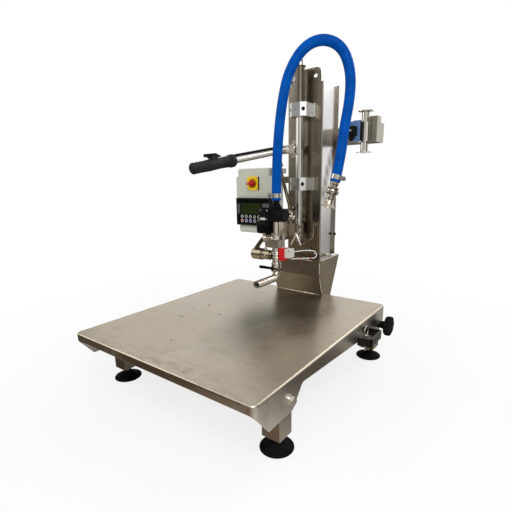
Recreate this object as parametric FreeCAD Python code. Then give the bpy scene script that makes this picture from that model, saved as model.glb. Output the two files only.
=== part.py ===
import FreeCAD, Part
import math
import os
from FreeCAD import Vector, Rotation

# Bag-in-box filler: tilting table on a square-tube stand, column with a hand-lifted filling head.
# Millimetres. X to the operator's right, Y away from the operator, Z up from the floor.

# Table tray, a folded sheet
TABLE_WIDTH = 640
TABLE_DEPTH = 722
TABLE_TOP = 183
TRAY_SHEET = 3
TRAY_BEND = 5
TRAY_CORNER = 18
LIP_HEIGHT = 20
TABLE_BACK = 302
TABLE_FRONT = TABLE_BACK - TABLE_DEPTH
TRAY_UNDERSIDE = TABLE_TOP - TRAY_SHEET
LOBE_BOTTOM = 104
LOBE_TIP_SETBACK = 47
LOBE_END_SETBACK = 137
FLANGE_START_SETBACK = 178
FLANGE_FRONT_DEPTH = 30
FLANGE_REAR_DEPTH = 68

# Stand
LEG = 50
LEG_WALL = 3
LEG_SIDE_GAP = 12
LEG_BOTTOM = 36
FRONT_LEG_SETBACK = 128
REAR_LEG_SETBACK = 32
FRONT_LEG_TOP = 170
FRONT_LEG_Y = TABLE_FRONT + FRONT_LEG_SETBACK
REAR_LEG_Y = TABLE_BACK - REAR_LEG_SETBACK
LEG_X = TABLE_WIDTH / 2 - LEG_SIDE_GAP - LEG / 2
RAIL_HEIGHT = 40
RAIL_WIDTH = 20
RAIL_WALL = 2
RAIL_TOP = 165
REST_GAP = 0.3

# Levelling feet
PAD_DIAMETER = 80
PAD_RIM = 4
PAD_HUB_DIAMETER = 26
PAD_HEIGHT = 20
SPINDLE_DIAMETER = 12
LOCK_NUT_FLATS = 19
LOCK_NUT_HEIGHT = 6
SPINDLE_SEAT = 8
SPINDLE_TOP = 60

# Front pivot of the table
PIVOT_Z = 134
PIVOT_BOLT_DIAMETER = 12
PIVOT_CLEARANCE = 0.05
PIVOT_HEAD_FLATS = 19
PIVOT_HEAD_HEIGHT = 7.5
WASHER_DIAMETER = 24
WASHER_THICKNESS = 2.5

# Lock screw at the rear right
LOCK_Z = 129
LOCK_FORWARD = 18
KNOB_DIAMETER = 63
KNOB_THICKNESS = 18
KNOB_LOBES = 7
KNOB_HUB_DIAMETER = 26
KNOB_NECK = 16
KNOB_STANDOFF = 10
LOCK_STUD_DIAMETER = 10
LOCK_BOSS_DIAMETER = 24
LOCK_BOSS_THICKNESS = 5
STUD_TIP_GAP = 0.3

# Guard strap and pin lug on the right flange
STRAP_REACH = 40
STRAP_LENGTH = 95
STRAP_HEIGHT = 24
STRAP_THICKNESS = 5
STRAP_Z = 135
STRAP_CENTRE_Y = 118
LUG_THICKNESS = 5
LUG_WIDTH = 28
LUG_REACH = 26
LUG_HOLE = 9
PIN_DIAMETER = 6
PIN_LENGTH = 44
RING_DIAMETER = 30
RING_WIRE = 2.4

# Console under the column
CONSOLE_WIDTH = 196
CONSOLE_TOP = 314
CONSOLE_KNEE_Z = 258
CONSOLE_FRONT_OVERHANG = 27
CONSOLE_FOOT_DEPTH = 25
CONSOLE_SOLE_Z = TABLE_TOP - LIP_HEIGHT
CONSOLE_HEEL_Y = TABLE_BACK + 38
CONSOLE_SHEET = 3
CONSOLE_RIM = 6
CONSOLE_PASSAGE = 14

# Column, a folded hat section
COLUMN_WIDTH = 138
COLUMN_SHEET = 3
COLUMN_TOP = 905
COLUMN_DEPTH = 100
COLUMN_FRONT = TABLE_BACK + 6
COLUMN_REAR = COLUMN_FRONT + COLUMN_DEPTH
COLUMN_RETURN = 10
TONGUE_WIDTH = 122
TONGUE_HEIGHT = 45
TONGUE_CORNER = 20
TONGUE_HOLE = 12
TONGUE_HOLE_X = 40
TONGUE_HOLE_DROP = 25

# Plate with a U cut-out behind the carriage
SADDLE_WIDTH = 124
SADDLE_SHEET = 3
SADDLE_TOP = 446
SADDLE_STANDOFF = 10
SADDLE_NOTCH_RADIUS = 47
SADDLE_NOTCH_Z = 410

# Lifting shaft and its guides
SHAFT_DIAMETER = 25
SHAFT_STANDOFF = 35
SHAFT_Y = COLUMN_FRONT - SHAFT_STANDOFF
SHAFT_BOTTOM = 376
SHAFT_TOP = 970
RUNNING_CLEARANCE = 0.05
GUIDE_HEIGHT = 43
GUIDE_LOWER_Z = 556
GUIDE_UPPER_Z = 797
GUIDE_FACE_WIDTH = 33
GUIDE_CHAMFER = 15
GUIDE_FRONT_DEPTH = 26
GUIDE_WING_WIDTH = 84
GUIDE_WING_THICKNESS = 8
BUSH_DIAMETER = 32
GUIDE_SCREW_HEAD = 13
GUIDE_SCREW_RECESS = 8
GUIDE_SET_SCREW = 5
SLEEVE_DIAMETER = 32
SLEEVE_LENGTH = 112
SLEEVE_RIM_DIAMETER = 38
SLEEVE_RIM = 3

# Lever, link and carriage
LEVER_X = -28
FULCRUM_Y = SHAFT_Y
FULCRUM_Z = 698
LEVER_DROP_DEG = 8.9
LEVER_TUBE_DIAMETER = 20
LEVER_TUBE_WALL = 2
LEVER_LENGTH = 490
CLEVIS_SIZE = 28
CLEVIS_SLOT = 14
CLEVIS_REACH = 46
CLEVIS_PIN_DIAMETER = 14
PIN_CLIP = 1.2
SLIDING_GAP = 0.3
LINK_ARM = 100
LINK_DROP = 18
LINK_PIN_DIAMETER = 10
LINK_PLAY = 1.6
LINK_LUG_THICKNESS = 11
LINK_LUG_RADIUS = 12
LINK_FOOT_Z = 461
LINK_FOOT_OFFSET = 1
FOOT_PIN_DIAMETER = 12
FORK_SIZE = 24
HEAD_FORK_SIZE = 19
FORK_SLOT = 12
FORK_REACH = 36
LINK_ROD_DIAMETER = 12
GRIP_LENGTH = 166
GRIP_DIAMETER = 29
GRIP_COLLAR_DIAMETER = 36
TRIGGER_BACK = 83
TRIGGER_RISE = 19
TRIGGER_WIDTH = 8
TRIGGER_PIN_DIAMETER = 5
RELEASE_ROD_DIAMETER = 6

# Filling head
HEAD_REACH = 144
HEAD_Y = SHAFT_Y - HEAD_REACH
TUBE_DIAMETER = 25.4
TUBE_WALL = 1.6
HUB_WIDTH = 44
HUB_SLEEVE_DIAMETER = 34
HUB_LIP = 9
HUB_BOTTOM = 396
HUB_TOP = 440
ARM_THICKNESS = 11
ARM_FRONT_BOTTOM = 374
ARM_FRONT_TOP = 400
ARM_EAR_RADIUS = 13
ARM_STEP_BELOW = 62
ARM_STEP_ABOVE = 50
PIPE_CLAMP_DEPTH = 40
PIPE_CLAMP_RIGHT = 20
HOSE_END_Z = 529
VALVE_BOTTOM = 460
VALVE_TOP = 502
VALVE_WIDTH = 40
VALVE_LEFT = -58
VALVE_RIGHT = 16
VALVE_CAP_DIAMETER = 42
VALVE_CAP_LENGTH = 22
ACTUATOR_LEFT = -70
ACTUATOR_RIGHT = -18
ACTUATOR_FRONT = 22
ACTUATOR_REAR = 47
ACTUATOR_HEIGHT = 42
DRIVE_NECK_LEFT = -26
DRIVE_NECK_RIGHT = 22
DRIVE_NECK_FRONT = 15
DRIVE_SCREW_RADIUS = 4
DRIVE_SCREW_HEAD = 2
DRIVE_SCREW_PLACES = ((-8, 12), (-8, 33), (26, 12), (26, 33))
FERRULE_DIAMETER = 50.5
FERRULE_THICKNESS = 5
FERRULE_RIM_SHARE = 0.4
FERRULE_NECK = 3
GASKET_THICKNESS = 2
CLAMP_Z = 410
CLAMP_DIAMETER = 58
CLAMP_HEIGHT = 14
WING_BOLT_DIAMETER = 6
WING_BOLT_OFFSET = 12
WING_REACH = 15
SLEEVE_PIPE_DIAMETER = 30
COLLAR_Z = 356
COLLAR_DIAMETER = 36
COLLAR_BELOW = 3
COLLAR_ABOVE = 2
UNION_BOTTOM = 291
UNION_TOP = 321
UNION_DIAMETER = 36
NOZZLE_Z = 270
NOZZLE_FRONT = 12
OUTLET_STEM_Z = 306
OUTLET_LEVER_LENGTH = 54
VACUUM_Z = 345
VACUUM_DIAMETER = 34
VACUUM_LEFT = -97
VACUUM_CAP_RIGHT = -58
SENSOR_BOTTOM = 333
SENSOR_TOP = 373.5

# Control box
BOX_LEFT = -350
BOX_WIDTH = 186
BOX_DEPTH = 75
BOX_STANDOFF = 12
BOX_FRONT = COLUMN_REAR + BOX_STANDOFF - BOX_DEPTH
BOX_BOTTOM = 380
BOX_TOP = 640
BOX_WALL = 3
BOX_CORNER = 8
LID_DEPTH = 16
LID_NOTCH_WIDTH = 16
LID_NOTCH_HEIGHT = 30
PANEL_DEPTH = 10
PANEL_BOTTOM = 411
PANEL_TOP = 523
PANEL_WIDTH = 181
WINDOW_LEFT = -319
WINDOW_BOTTOM = 456
WINDOW_WIDTH = 102
WINDOW_HEIGHT = 47
WINDOW_DEPTH = 2.5
KEY_DIAMETER = 12
KEY_LEFT_X = -313
KEY_TOP_Z = 447
KEY_PITCH_X = 21.7
KEY_PITCH_Z = 17
KEY_COLUMNS = 5
KEY_TRAVEL = 1
KEY_PROUD = 2
KEY_GAP = 0.3
SWITCH_X = -261
SWITCH_Z = 581
SWITCH_PLATE = 54
SWITCH_PLATE_THICKNESS = 4
SWITCH_SHAFT_DIAMETER = 8
SWITCH_HANDLE_LENGTH = 54
SWITCH_HANDLE_DIAMETER = 28

# Flow meter
METER_X = 198
METER_Y = COLUMN_REAR - 50
METER_Z = 740
METER_FACE_TO_FACE = 130
METER_BODY_DIAMETER = 40
METER_BODY_HEIGHT = 60
HOUSING_WIDTH = 37
HOUSING_DEPTH = 34
BRACKET_SHEET = 3
BRACKET_REACH = 45
BRACKET_BELOW = 33
BRACKET_ABOVE = 27
BRACKET_TIP = 14
BRACKET_TAB_DEPTH = 20
BRACKET_TAB_LOW = 20
BRACKET_TAB_HIGH = 45
CRADLE_WIDTH = 24
CRADLE_SHEET = 3

# Hose
HOSE_DIAMETER = 31
HOSE_BORE = 24
HOSE_ROUTE = [
    (0, 129, 529), (4, 127, 640), (11, 130, 745), (12, 136, 836), (11, 138, 916), (47, 160, 972),
    (103, 194, 993), (157, 230, 971), (193, 249, 915), (193, 250, 837), (203, 222, 738),
    (199, 190, 658), (184, 175, 583)]
HOSE_CLAMP_WIDTH = 14
HOSE_CLAMP_RADIAL = 1.5
HOSE_CLAMP_SETBACK = 8
FITTING_LENGTH = 78
FITTING_HEX = 38

# Sensor tube, a white hairpin
SENSOR_TUBE_DIAMETER = 3.4
SENSOR_TUBE_START = (49, 148)
SENSOR_TUBE_WAY = (0.804, 0.595)
SENSOR_TUBE_ROUTE = [
    (0, 359), (24, 362.5), (52, 364), (80, 361), (82, 338), (56, 336.5), (28, 338), (-4, 335)]

UP = Vector(0, 0, 1)
ALONG_X = Vector(1, 0, 0)
ALONG_Y = Vector(0, 1, 0)


# Helpers for shapes

def block(x0, x1, y0, y1, z0, z1):
    return Part.makeBox(x1 - x0, y1 - y0, z1 - z0, Vector(x0, y0, z0))


def bar(start, end, radius):
    start = Vector(*start)
    way = Vector(*end) - start
    return Part.makeCylinder(radius, way.Length, start, way)


def pipe(start, end, outer, inner):
    return bar(start, end, outer).cut(bar(start, end, inner))


def lathe(profile, base=(0, 0, 0), direction=UP):
    """Turn a closed profile of (radius, height) points about an axis."""
    points = [Vector(r, 0, h) for r, h in profile]
    face = Part.Face(Part.makePolygon(points + points[:1]))
    solid = face.revolve(Vector(0, 0, 0), UP, 360)
    solid.Placement = FreeCAD.Placement(Vector(*base), Rotation(UP, Vector(direction)))
    return solid


def rounded_wire(points):
    """Closed outline of (u, v, radius) corners, as runs and tangent arcs in the XY plane."""
    count = len(points)
    edges = []
    tangents = []
    for i in range(count):
        u, v, radius = points[i]
        here = Vector(u, v, 0)
        back = Vector(*points[i - 1][:2], 0) - here
        ahead = Vector(*points[(i + 1) % count][:2], 0) - here
        back.normalize()
        ahead.normalize()
        if radius <= 0:
            tangents.append((here, None, here))
            continue
        half = back.getAngle(ahead) / 2
        reach = radius / math.tan(half)
        middle_way = back + ahead
        middle_way.normalize()
        middle = here + middle_way * (radius / math.sin(half) - radius)
        tangents.append((here + back * reach, middle, here + ahead * reach))
    for i in range(count):
        first, middle, last = tangents[i]
        if middle is not None:
            edges.append(Part.Arc(first, middle, last).toShape())
        following = tangents[(i + 1) % count][0]
        if (following - last).Length > 1e-6:
            edges.append(Part.LineSegment(last, following).toShape())
    return Part.Wire(edges)


def prism(points, plane, start, end):
    """Extrude a rounded outline: plane "xy" along Z, "xz" along Y, "yz" along X."""
    solid = Part.Face(rounded_wire(points)).extrude(Vector(0, 0, end - start))
    frames = {
        "xy": FreeCAD.Matrix(1, 0, 0, 0, 0, 1, 0, 0, 0, 0, 1, start),
        "xz": FreeCAD.Matrix(1, 0, 0, 0, 0, 0, -1, end, 0, 1, 0, 0),
        "yz": FreeCAD.Matrix(0, 0, 1, start, 1, 0, 0, 0, 0, 1, 0, 0)}
    solid.Placement = FreeCAD.Placement(frames[plane])
    return solid


def rectangle(x0, x1, z0, z1, radius):
    return [(x0, z0, radius), (x1, z0, radius), (x1, z1, radius), (x0, z1, radius)]


def hexagon(flats):
    across = flats / math.sqrt(3)
    return [(across * math.cos(math.radians(60 * i)), across * math.sin(math.radians(60 * i)), 0)
            for i in range(6)]


def hex_bar(flats, base, direction, length):
    solid = prism(hexagon(flats), "xy", 0, length)
    solid.Placement = FreeCAD.Placement(Vector(*base), Rotation(UP, Vector(direction)))
    return solid


def fuse(solids):
    whole = solids[0].fuse(solids[1:]) if len(solids) > 1 else solids[0]
    return whole.removeSplitter()


def group(solids):
    return Part.makeCompound(solids)


parts = {}


# Stand and levelling feet

def leg_places():
    return [(side * LEG_X, y) for y in (FRONT_LEG_Y, REAR_LEG_Y) for side in (-1, 1)]


def leg_top(y):
    return FRONT_LEG_TOP if y == FRONT_LEG_Y else TRAY_UNDERSIDE - REST_GAP


def square_tube(x, y, z0, z1):
    half = LEG / 2
    bore = half - LEG_WALL
    outer = prism(rectangle(x - half, x + half, y - half, y + half, LEG_WALL), "xy", z0, z1)
    return outer.cut(block(x - bore, x + bore, y - bore, y + bore, z0 + LEG_WALL, z1 - LEG_WALL))


def rail(x0, x1, y0, y1):
    low = RAIL_TOP - RAIL_HEIGHT
    outer = block(x0, x1, y0, y1, low, RAIL_TOP)
    if x1 - x0 > y1 - y0:
        hollow = block(x0, x1, y0 + RAIL_WALL, y1 - RAIL_WALL, low + RAIL_WALL, RAIL_TOP - RAIL_WALL)
    else:
        hollow = block(x0 + RAIL_WALL, x1 - RAIL_WALL, y0, y1, low + RAIL_WALL, RAIL_TOP - RAIL_WALL)
    return outer.cut(hollow)


def base_frame():
    inner = LEG / 2
    solids = [square_tube(x, y, LEG_BOTTOM, leg_top(y)) for x, y in leg_places()]
    for y in (FRONT_LEG_Y, REAR_LEG_Y):
        solids.append(rail(-LEG_X + inner, LEG_X - inner, y - RAIL_WIDTH / 2, y + RAIL_WIDTH / 2))
    for side in (-1, 1):
        x = side * LEG_X
        solids.append(rail(x - RAIL_WIDTH / 2, x + RAIL_WIDTH / 2, FRONT_LEG_Y + inner, REAR_LEG_Y - inner))
    frame = fuse(solids)
    for x, y in leg_places():
        floor_top = LEG_BOTTOM + LEG_WALL + 1
        frame = frame.cut(bar((x, y, LEG_BOTTOM - 1), (x, y, floor_top), SPINDLE_DIAMETER / 2))
    for side in (-1, 1):
        bore = bar((side * LEG_X, FRONT_LEG_Y, PIVOT_Z), (side * (LEG_X + LEG), FRONT_LEG_Y, PIVOT_Z),
                   PIVOT_BOLT_DIAMETER / 2 + PIVOT_CLEARANCE)
        frame = frame.cut(bore)
    return frame


def foot_pads():
    rim = PAD_DIAMETER / 2
    hub = PAD_HUB_DIAMETER / 2
    seat = SPINDLE_DIAMETER / 2
    profile = [(0, 0), (rim - 1, 0), (rim, 1), (rim, PAD_RIM - 1), (rim - 1, PAD_RIM),
               (rim - 8, PAD_RIM + 2), (hub + 3, PAD_HEIGHT - 5), (hub, PAD_HEIGHT), (seat, PAD_HEIGHT),
               (seat, SPINDLE_SEAT), (0, SPINDLE_SEAT)]
    return group([lathe(profile, (x, y, 0)) for x, y in leg_places()])


def foot_spindles():
    solids = []
    for x, y in leg_places():
        spindle = bar((x, y, SPINDLE_SEAT), (x, y, SPINDLE_TOP), SPINDLE_DIAMETER / 2)
        nut = hex_bar(LOCK_NUT_FLATS, (x, y, LEG_BOTTOM - LOCK_NUT_HEIGHT), UP, LOCK_NUT_HEIGHT)
        solids.append(fuse([spindle, nut]))
    return group(solids)


# Table tray with side flanges and rounded corners

def tray_side_outline():
    above = TABLE_TOP + 10
    flange_front = TABLE_TOP - FLANGE_FRONT_DEPTH
    flange_rear = TABLE_TOP - FLANGE_REAR_DEPTH
    return [
        (TABLE_FRONT - 1, above, 0),
        (TABLE_FRONT - 1, TABLE_TOP - LIP_HEIGHT, 0),
        (TABLE_FRONT, TABLE_TOP - LIP_HEIGHT, 0),
        (TABLE_FRONT + LOBE_TIP_SETBACK, LOBE_BOTTOM, 4),
        (TABLE_FRONT + LOBE_END_SETBACK, LOBE_BOTTOM, 18),
        (TABLE_FRONT + FLANGE_START_SETBACK, flange_front, 16),
        (TABLE_BACK + 0.5, flange_rear, 14),
        (TABLE_BACK + 0.5, above, 0)]


def tray_shell(inset, drop, corner, bend):
    half = TABLE_WIDTH / 2 - inset
    outline = rectangle(-half, half, TABLE_FRONT + inset, TABLE_BACK - inset, corner)
    body = prism(outline, "xy", LOBE_BOTTOM - 10 - drop, TABLE_TOP - inset)
    top_edges = [e for e in body.Edges
                 if abs(e.BoundBox.ZMin - (TABLE_TOP - inset)) < 1e-6 and e.BoundBox.ZLength < 1e-6]
    return body.makeFillet(bend, top_edges)


def table_tray():
    inner_corner = TRAY_CORNER - TRAY_SHEET
    inner_bend = TRAY_BEND - TRAY_SHEET
    shell = tray_shell(0, 0, TRAY_CORNER, TRAY_BEND).cut(tray_shell(TRAY_SHEET, 5, inner_corner, inner_bend))
    side = prism(tray_side_outline(), "yz", -TABLE_WIDTH, TABLE_WIDTH)
    tray = shell.common(side)
    lip_half = TABLE_WIDTH / 2 - TRAY_CORNER
    lip_bottom = TABLE_TOP - LIP_HEIGHT
    rear_cut = block(-lip_half, lip_half, TABLE_BACK - TRAY_CORNER, TABLE_BACK + 5, 0, lip_bottom)
    tray = tray.cut(rear_cut)
    hole = PIVOT_BOLT_DIAMETER / 2 + PIVOT_CLEARANCE
    for side_sign in (-1, 1):
        tray = tray.cut(bar((side_sign * (LEG_X + LEG / 2), FRONT_LEG_Y, PIVOT_Z),
                            (side_sign * TABLE_WIDTH, FRONT_LEG_Y, PIVOT_Z), hole))
    return tray.cut(bar((LEG_X + LEG / 2, lock_y(), LOCK_Z), (TABLE_WIDTH, lock_y(), LOCK_Z),
                        LOCK_STUD_DIAMETER / 2 + PIVOT_CLEARANCE))


def pivot_bolts():
    """Bolts, washers, spacer bushes and nuts of the two front pivots."""
    flange_outer = TABLE_WIDTH / 2
    flange_inner = flange_outer - TRAY_SHEET
    leg_outer = LEG_X + LEG / 2
    wall_inside = leg_outer - LEG_WALL
    radius = PIVOT_BOLT_DIAMETER / 2
    bore = radius + PIVOT_CLEARANCE
    solids = []
    for side in (-1, 1):
        way = Vector(side, 0, 0)

        def at(x):
            return (side * x, FRONT_LEG_Y, PIVOT_Z)

        head_seat = flange_outer + WASHER_THICKNESS
        shank = bar(at(wall_inside - 18), at(head_seat), radius)
        head = hex_bar(PIVOT_HEAD_FLATS, at(head_seat), way, PIVOT_HEAD_HEIGHT)
        washer = pipe(at(flange_outer), at(head_seat), WASHER_DIAMETER / 2, bore)
        bush = pipe(at(leg_outer + REST_GAP), at(flange_inner), WASHER_DIAMETER / 2, bore)
        nut_start = at(wall_inside - REST_GAP - PIVOT_HEAD_HEIGHT)
        nut = hex_bar(PIVOT_HEAD_FLATS, nut_start, way, PIVOT_HEAD_HEIGHT)
        solids += [fuse([shank, head, nut]), washer, bush]
    return group(solids)


# Lock screw, strap, lug and retaining pins

def lock_y():
    return REAR_LEG_Y - LOCK_FORWARD


def knob_disc(x0, x1):
    """Hand wheel with scalloped rim, its axis along X."""
    radius = KNOB_DIAMETER / 2
    wheel = bar((x0, lock_y(), LOCK_Z), (x1, lock_y(), LOCK_Z), radius)
    wheel = wheel.makeFillet(4, [e for e in wheel.Edges if isinstance(e.Curve, Part.Circle)])
    scallop = radius * 0.3
    for i in range(KNOB_LOBES):
        angle = 2 * math.pi * (i + 0.5) / KNOB_LOBES
        y = lock_y() + (radius + scallop * 0.45) * math.cos(angle)
        z = LOCK_Z + (radius + scallop * 0.45) * math.sin(angle)
        wheel = wheel.cut(bar((x0 - 1, y, z), (x1 + 1, y, z), scallop))
    return wheel


def lock_knob():
    boss_face = TABLE_WIDTH / 2 + LOCK_BOSS_THICKNESS
    hub_start = boss_face + 1
    disc_start = hub_start + KNOB_NECK
    disc_end = disc_start + KNOB_THICKNESS
    tip = LEG_X + LEG / 2 + STUD_TIP_GAP

    def at(x):
        return (x, lock_y(), LOCK_Z)

    stud = bar(at(tip), at(hub_start + 5), LOCK_STUD_DIAMETER / 2)
    hub_radius = KNOB_HUB_DIAMETER / 2
    hub = Part.makeCone(hub_radius - 2, hub_radius + 2, KNOB_NECK, Vector(*at(hub_start)), ALONG_X)
    return fuse([stud, hub, knob_disc(disc_start, disc_end)])


def lock_boss():
    inner = LOCK_STUD_DIAMETER / 2 + PIVOT_CLEARANCE
    outside = TABLE_WIDTH / 2
    return pipe((outside, lock_y(), LOCK_Z), (outside + LOCK_BOSS_THICKNESS, lock_y(), LOCK_Z),
                LOCK_BOSS_DIAMETER / 2, inner)


def side_strap():
    """Guard strap on the flange, with the pin lug inside it and the lock screw's boss."""
    x0 = TABLE_WIDTH / 2
    y0 = STRAP_CENTRE_Y - STRAP_LENGTH / 2
    y1 = STRAP_CENTRE_Y + STRAP_LENGTH / 2
    low = STRAP_Z - STRAP_HEIGHT / 2
    high = STRAP_Z + STRAP_HEIGHT / 2
    t = STRAP_THICKNESS
    outline = [(x0, y0, 0), (x0 + STRAP_REACH, y0 + 8, 9), (x0 + STRAP_REACH, y1, 9), (x0, y1, 0)]
    inside = [(x0 - 1, y0 + t, 0), (x0 + STRAP_REACH - t, y0 + 8 + t, 4), (x0 + STRAP_REACH - t, y1 - t, 4),
              (x0 - 1, y1 - t, 0)]
    strap = prism(outline, "xy", low, high).cut(prism(inside, "xy", low - 1, high + 1))
    return group([strap, lock_boss(), pin_lug()])


def lug_hole_place():
    return TABLE_WIDTH / 2 + LUG_REACH - LUG_WIDTH / 2, STRAP_CENTRE_Y - 12


def pin_lug():
    """Level lug on the flange inside the strap, with a pin hole."""
    x, y = lug_hole_place()
    half = LUG_WIDTH / 2
    x0 = TABLE_WIDTH / 2
    plate = prism([(x0, y - half, 0), (x0 + LUG_REACH, y - half, 7), (x0 + LUG_REACH, y + half, 7),
                   (x0, y + half, 0)], "xy", STRAP_Z, STRAP_Z + LUG_THICKNESS)
    return plate.cut(bar((x, y, STRAP_Z - 1), (x, y, STRAP_Z + LUG_THICKNESS + 1), LUG_HOLE / 2))


def ring(centre, direction, diameter, wire):
    solid = Part.makeTorus(diameter / 2, wire / 2)
    solid.Placement = FreeCAD.Placement(Vector(*centre), Rotation(UP, Vector(direction)))
    return solid


def retaining_pins():
    """Linch pins with rings: one in the flange lug, one in the tongue's left hole."""
    x, y = lug_hole_place()
    radius = PIN_DIAMETER / 2
    collar_low = STRAP_Z + LUG_THICKNESS
    shank = bar((x, y, collar_low - PIN_LENGTH), (x, y, collar_low + 4), radius)
    collar = bar((x, y, collar_low), (x, y, collar_low + 4), radius + 3)
    loop = ring((x, y, collar_low + 4 + RING_DIAMETER / 2 - 2), (1, 0, 0), RING_DIAMETER, RING_WIRE)
    solids = [fuse([shank, collar, loop])]
    hole_x = -TONGUE_HOLE_X
    z = COLUMN_TOP + TONGUE_HEIGHT - TONGUE_HOLE_DROP
    front = COLUMN_FRONT
    shank = bar((hole_x, front - 4, z), (hole_x, front + PIN_LENGTH - 10, z), radius)
    collar = bar((hole_x, front - 4, z), (hole_x, front, z), TONGUE_HOLE / 2 + 2)
    loop = ring((hole_x, front - 3, z - RING_DIAMETER / 2 + 1), (0, 1, 0), RING_DIAMETER, RING_WIRE)
    solids.append(fuse([shank, collar, loop]))
    return group(solids)


# Console that carries the column

def console_outline(inset):
    front = TABLE_BACK - CONSOLE_FOOT_DEPTH - CONSOLE_FRONT_OVERHANG
    return [
        (front + inset, CONSOLE_TOP + inset, 0),
        (front + inset, CONSOLE_KNEE_Z + inset * 0.2, 0),
        (TABLE_BACK - CONSOLE_FOOT_DEPTH + inset * 0.7, TABLE_TOP + inset, 0),
        (TABLE_BACK + inset, TABLE_TOP + inset, 0),
        (TABLE_BACK + inset, CONSOLE_SOLE_Z + inset, 0),
        (CONSOLE_HEEL_Y - inset * 0.65, CONSOLE_SOLE_Z + inset, 0),
        (COLUMN_REAR - inset * 0.65, CONSOLE_TOP + inset, 0)]


def console():
    """Folded box on the table's back edge, open above, with a sunk deck for the column."""
    half = CONSOLE_WIDTH / 2
    t = CONSOLE_SHEET
    front = console_outline(0)[0][0]
    outer = prism(console_outline(0), "yz", -half, half)
    inner = prism(console_outline(t), "yz", -half + t, half - t)
    deck_top = CONSOLE_TOP - CONSOLE_RIM
    deck = block(-half + t, half - t, front + t, COLUMN_REAR - t - 5, deck_top - t, deck_top)
    reach = COLUMN_WIDTH / 2 + COLUMN_RETURN + REST_GAP
    passage_front = COLUMN_REAR - CONSOLE_PASSAGE
    passage = block(-reach, reach, passage_front, COLUMN_REAR + 2, deck_top, CONSOLE_TOP + 1)
    return fuse([outer.cut(inner), deck]).cut(passage)


# Column and the plates on it

def column_floor():
    return CONSOLE_TOP - CONSOLE_RIM


def column():
    half = COLUMN_WIDTH / 2
    t = COLUMN_SHEET
    bottom = column_floor()
    outer = prism([(-half, COLUMN_FRONT, t + 1), (half, COLUMN_FRONT, t + 1), (half, COLUMN_REAR, 0),
                   (-half, COLUMN_REAR, 0)], "xy", bottom, COLUMN_TOP)
    channel = [(-half + t, COLUMN_FRONT + t, 1), (half - t, COLUMN_FRONT + t, 1),
               (half - t, COLUMN_REAR + 1, 0), (-half + t, COLUMN_REAR + 1, 0)]
    inner = prism(channel, "xy", bottom - 1, COLUMN_TOP + 1)
    solids = [outer.cut(inner)]
    for side in (-1, 1):
        x0, x1 = sorted((side * (half - t), side * (half + COLUMN_RETURN)))
        solids.append(block(x0, x1, COLUMN_REAR - t, COLUMN_REAR, bottom + 6, COLUMN_TOP))
    tongue_half = TONGUE_WIDTH / 2
    tongue_top = COLUMN_TOP + TONGUE_HEIGHT
    tongue = [(-tongue_half, COLUMN_TOP - 5, 0), (tongue_half, COLUMN_TOP - 5, 0),
              (tongue_half, tongue_top, TONGUE_CORNER), (-tongue_half, tongue_top, TONGUE_CORNER)]
    solids.append(prism(tongue, "xz", COLUMN_FRONT, COLUMN_FRONT + t))
    body = fuse(solids)
    for side in (-1, 1):
        spot = (side * TONGUE_HOLE_X, COLUMN_FRONT - 1, tongue_top - TONGUE_HOLE_DROP)
        body = body.cut(bar(spot, (spot[0], COLUMN_FRONT + t + 1, spot[2]), TONGUE_HOLE / 2))
    return body


def saddle_plate():
    half = SADDLE_WIDTH / 2
    front = COLUMN_FRONT - SADDLE_STANDOFF
    t = SADDLE_SHEET
    outer = block(-half, half, front, COLUMN_FRONT, column_floor(), SADDLE_TOP)
    inner = block(-half + t, half - t, front + t, COLUMN_FRONT + 1, column_floor() - 1, SADDLE_TOP + 1)
    notch = bar((0, front - 1, SADDLE_NOTCH_Z), (0, front + t + 1, SADDLE_NOTCH_Z), SADDLE_NOTCH_RADIUS)
    wide = SADDLE_NOTCH_RADIUS
    mouth = block(-wide, wide, front - 1, front + t + 1, SADDLE_NOTCH_Z, SADDLE_TOP + 1)
    return outer.cut(inner).cut(notch).cut(mouth)


# Guide blocks with bushes and their screws

def guide_front():
    return SHAFT_Y - GUIDE_FRONT_DEPTH


def guide_block(z):
    face = GUIDE_FACE_WIDTH / 2
    wide = face + GUIDE_CHAMFER
    wing = GUIDE_WING_WIDTH / 2
    wing_y = COLUMN_FRONT - GUIDE_WING_THICKNESS
    front = guide_front()
    outline = [(-face, front, 0), (face, front, 0), (wide, front + GUIDE_CHAMFER, 0), (wide, wing_y, 0),
               (wing, wing_y, 1.5), (wing, COLUMN_FRONT, 0), (-wing, COLUMN_FRONT, 0), (-wing, wing_y, 1.5),
               (-wide, wing_y, 0), (-wide, front + GUIDE_CHAMFER, 0)]
    body = prism(outline, "xy", z, z + GUIDE_HEIGHT)
    body = body.cut(bar((0, SHAFT_Y, z - 1), (0, SHAFT_Y, z + GUIDE_HEIGHT + 1), BUSH_DIAMETER / 2))
    middle = z + GUIDE_HEIGHT / 2
    for side in (-1, 1):
        body = body.cut(guide_screw_shape(side, middle, GUIDE_SCREW_HEAD / 2, GUIDE_SCREW_RECESS, 1))
    return body.cut(bar((0, front - 1, middle), (0, front + 4, middle), GUIDE_SET_SCREW / 2))


def chamfer_point(side, depth):
    """Point on the axis of a chamfer's screw, a depth below the chamfer."""
    middle = GUIDE_FACE_WIDTH / 2 + GUIDE_CHAMFER / 2
    inward = depth / math.sqrt(2)
    return side * (middle - inward), guide_front() + GUIDE_CHAMFER / 2 + inward


def guide_screw_shape(side, z, radius, depth, above):
    x0, y0 = chamfer_point(side, -above)
    x1, y1 = chamfer_point(side, depth)
    return bar((x0, y0, z), (x1, y1, z), radius)


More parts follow.
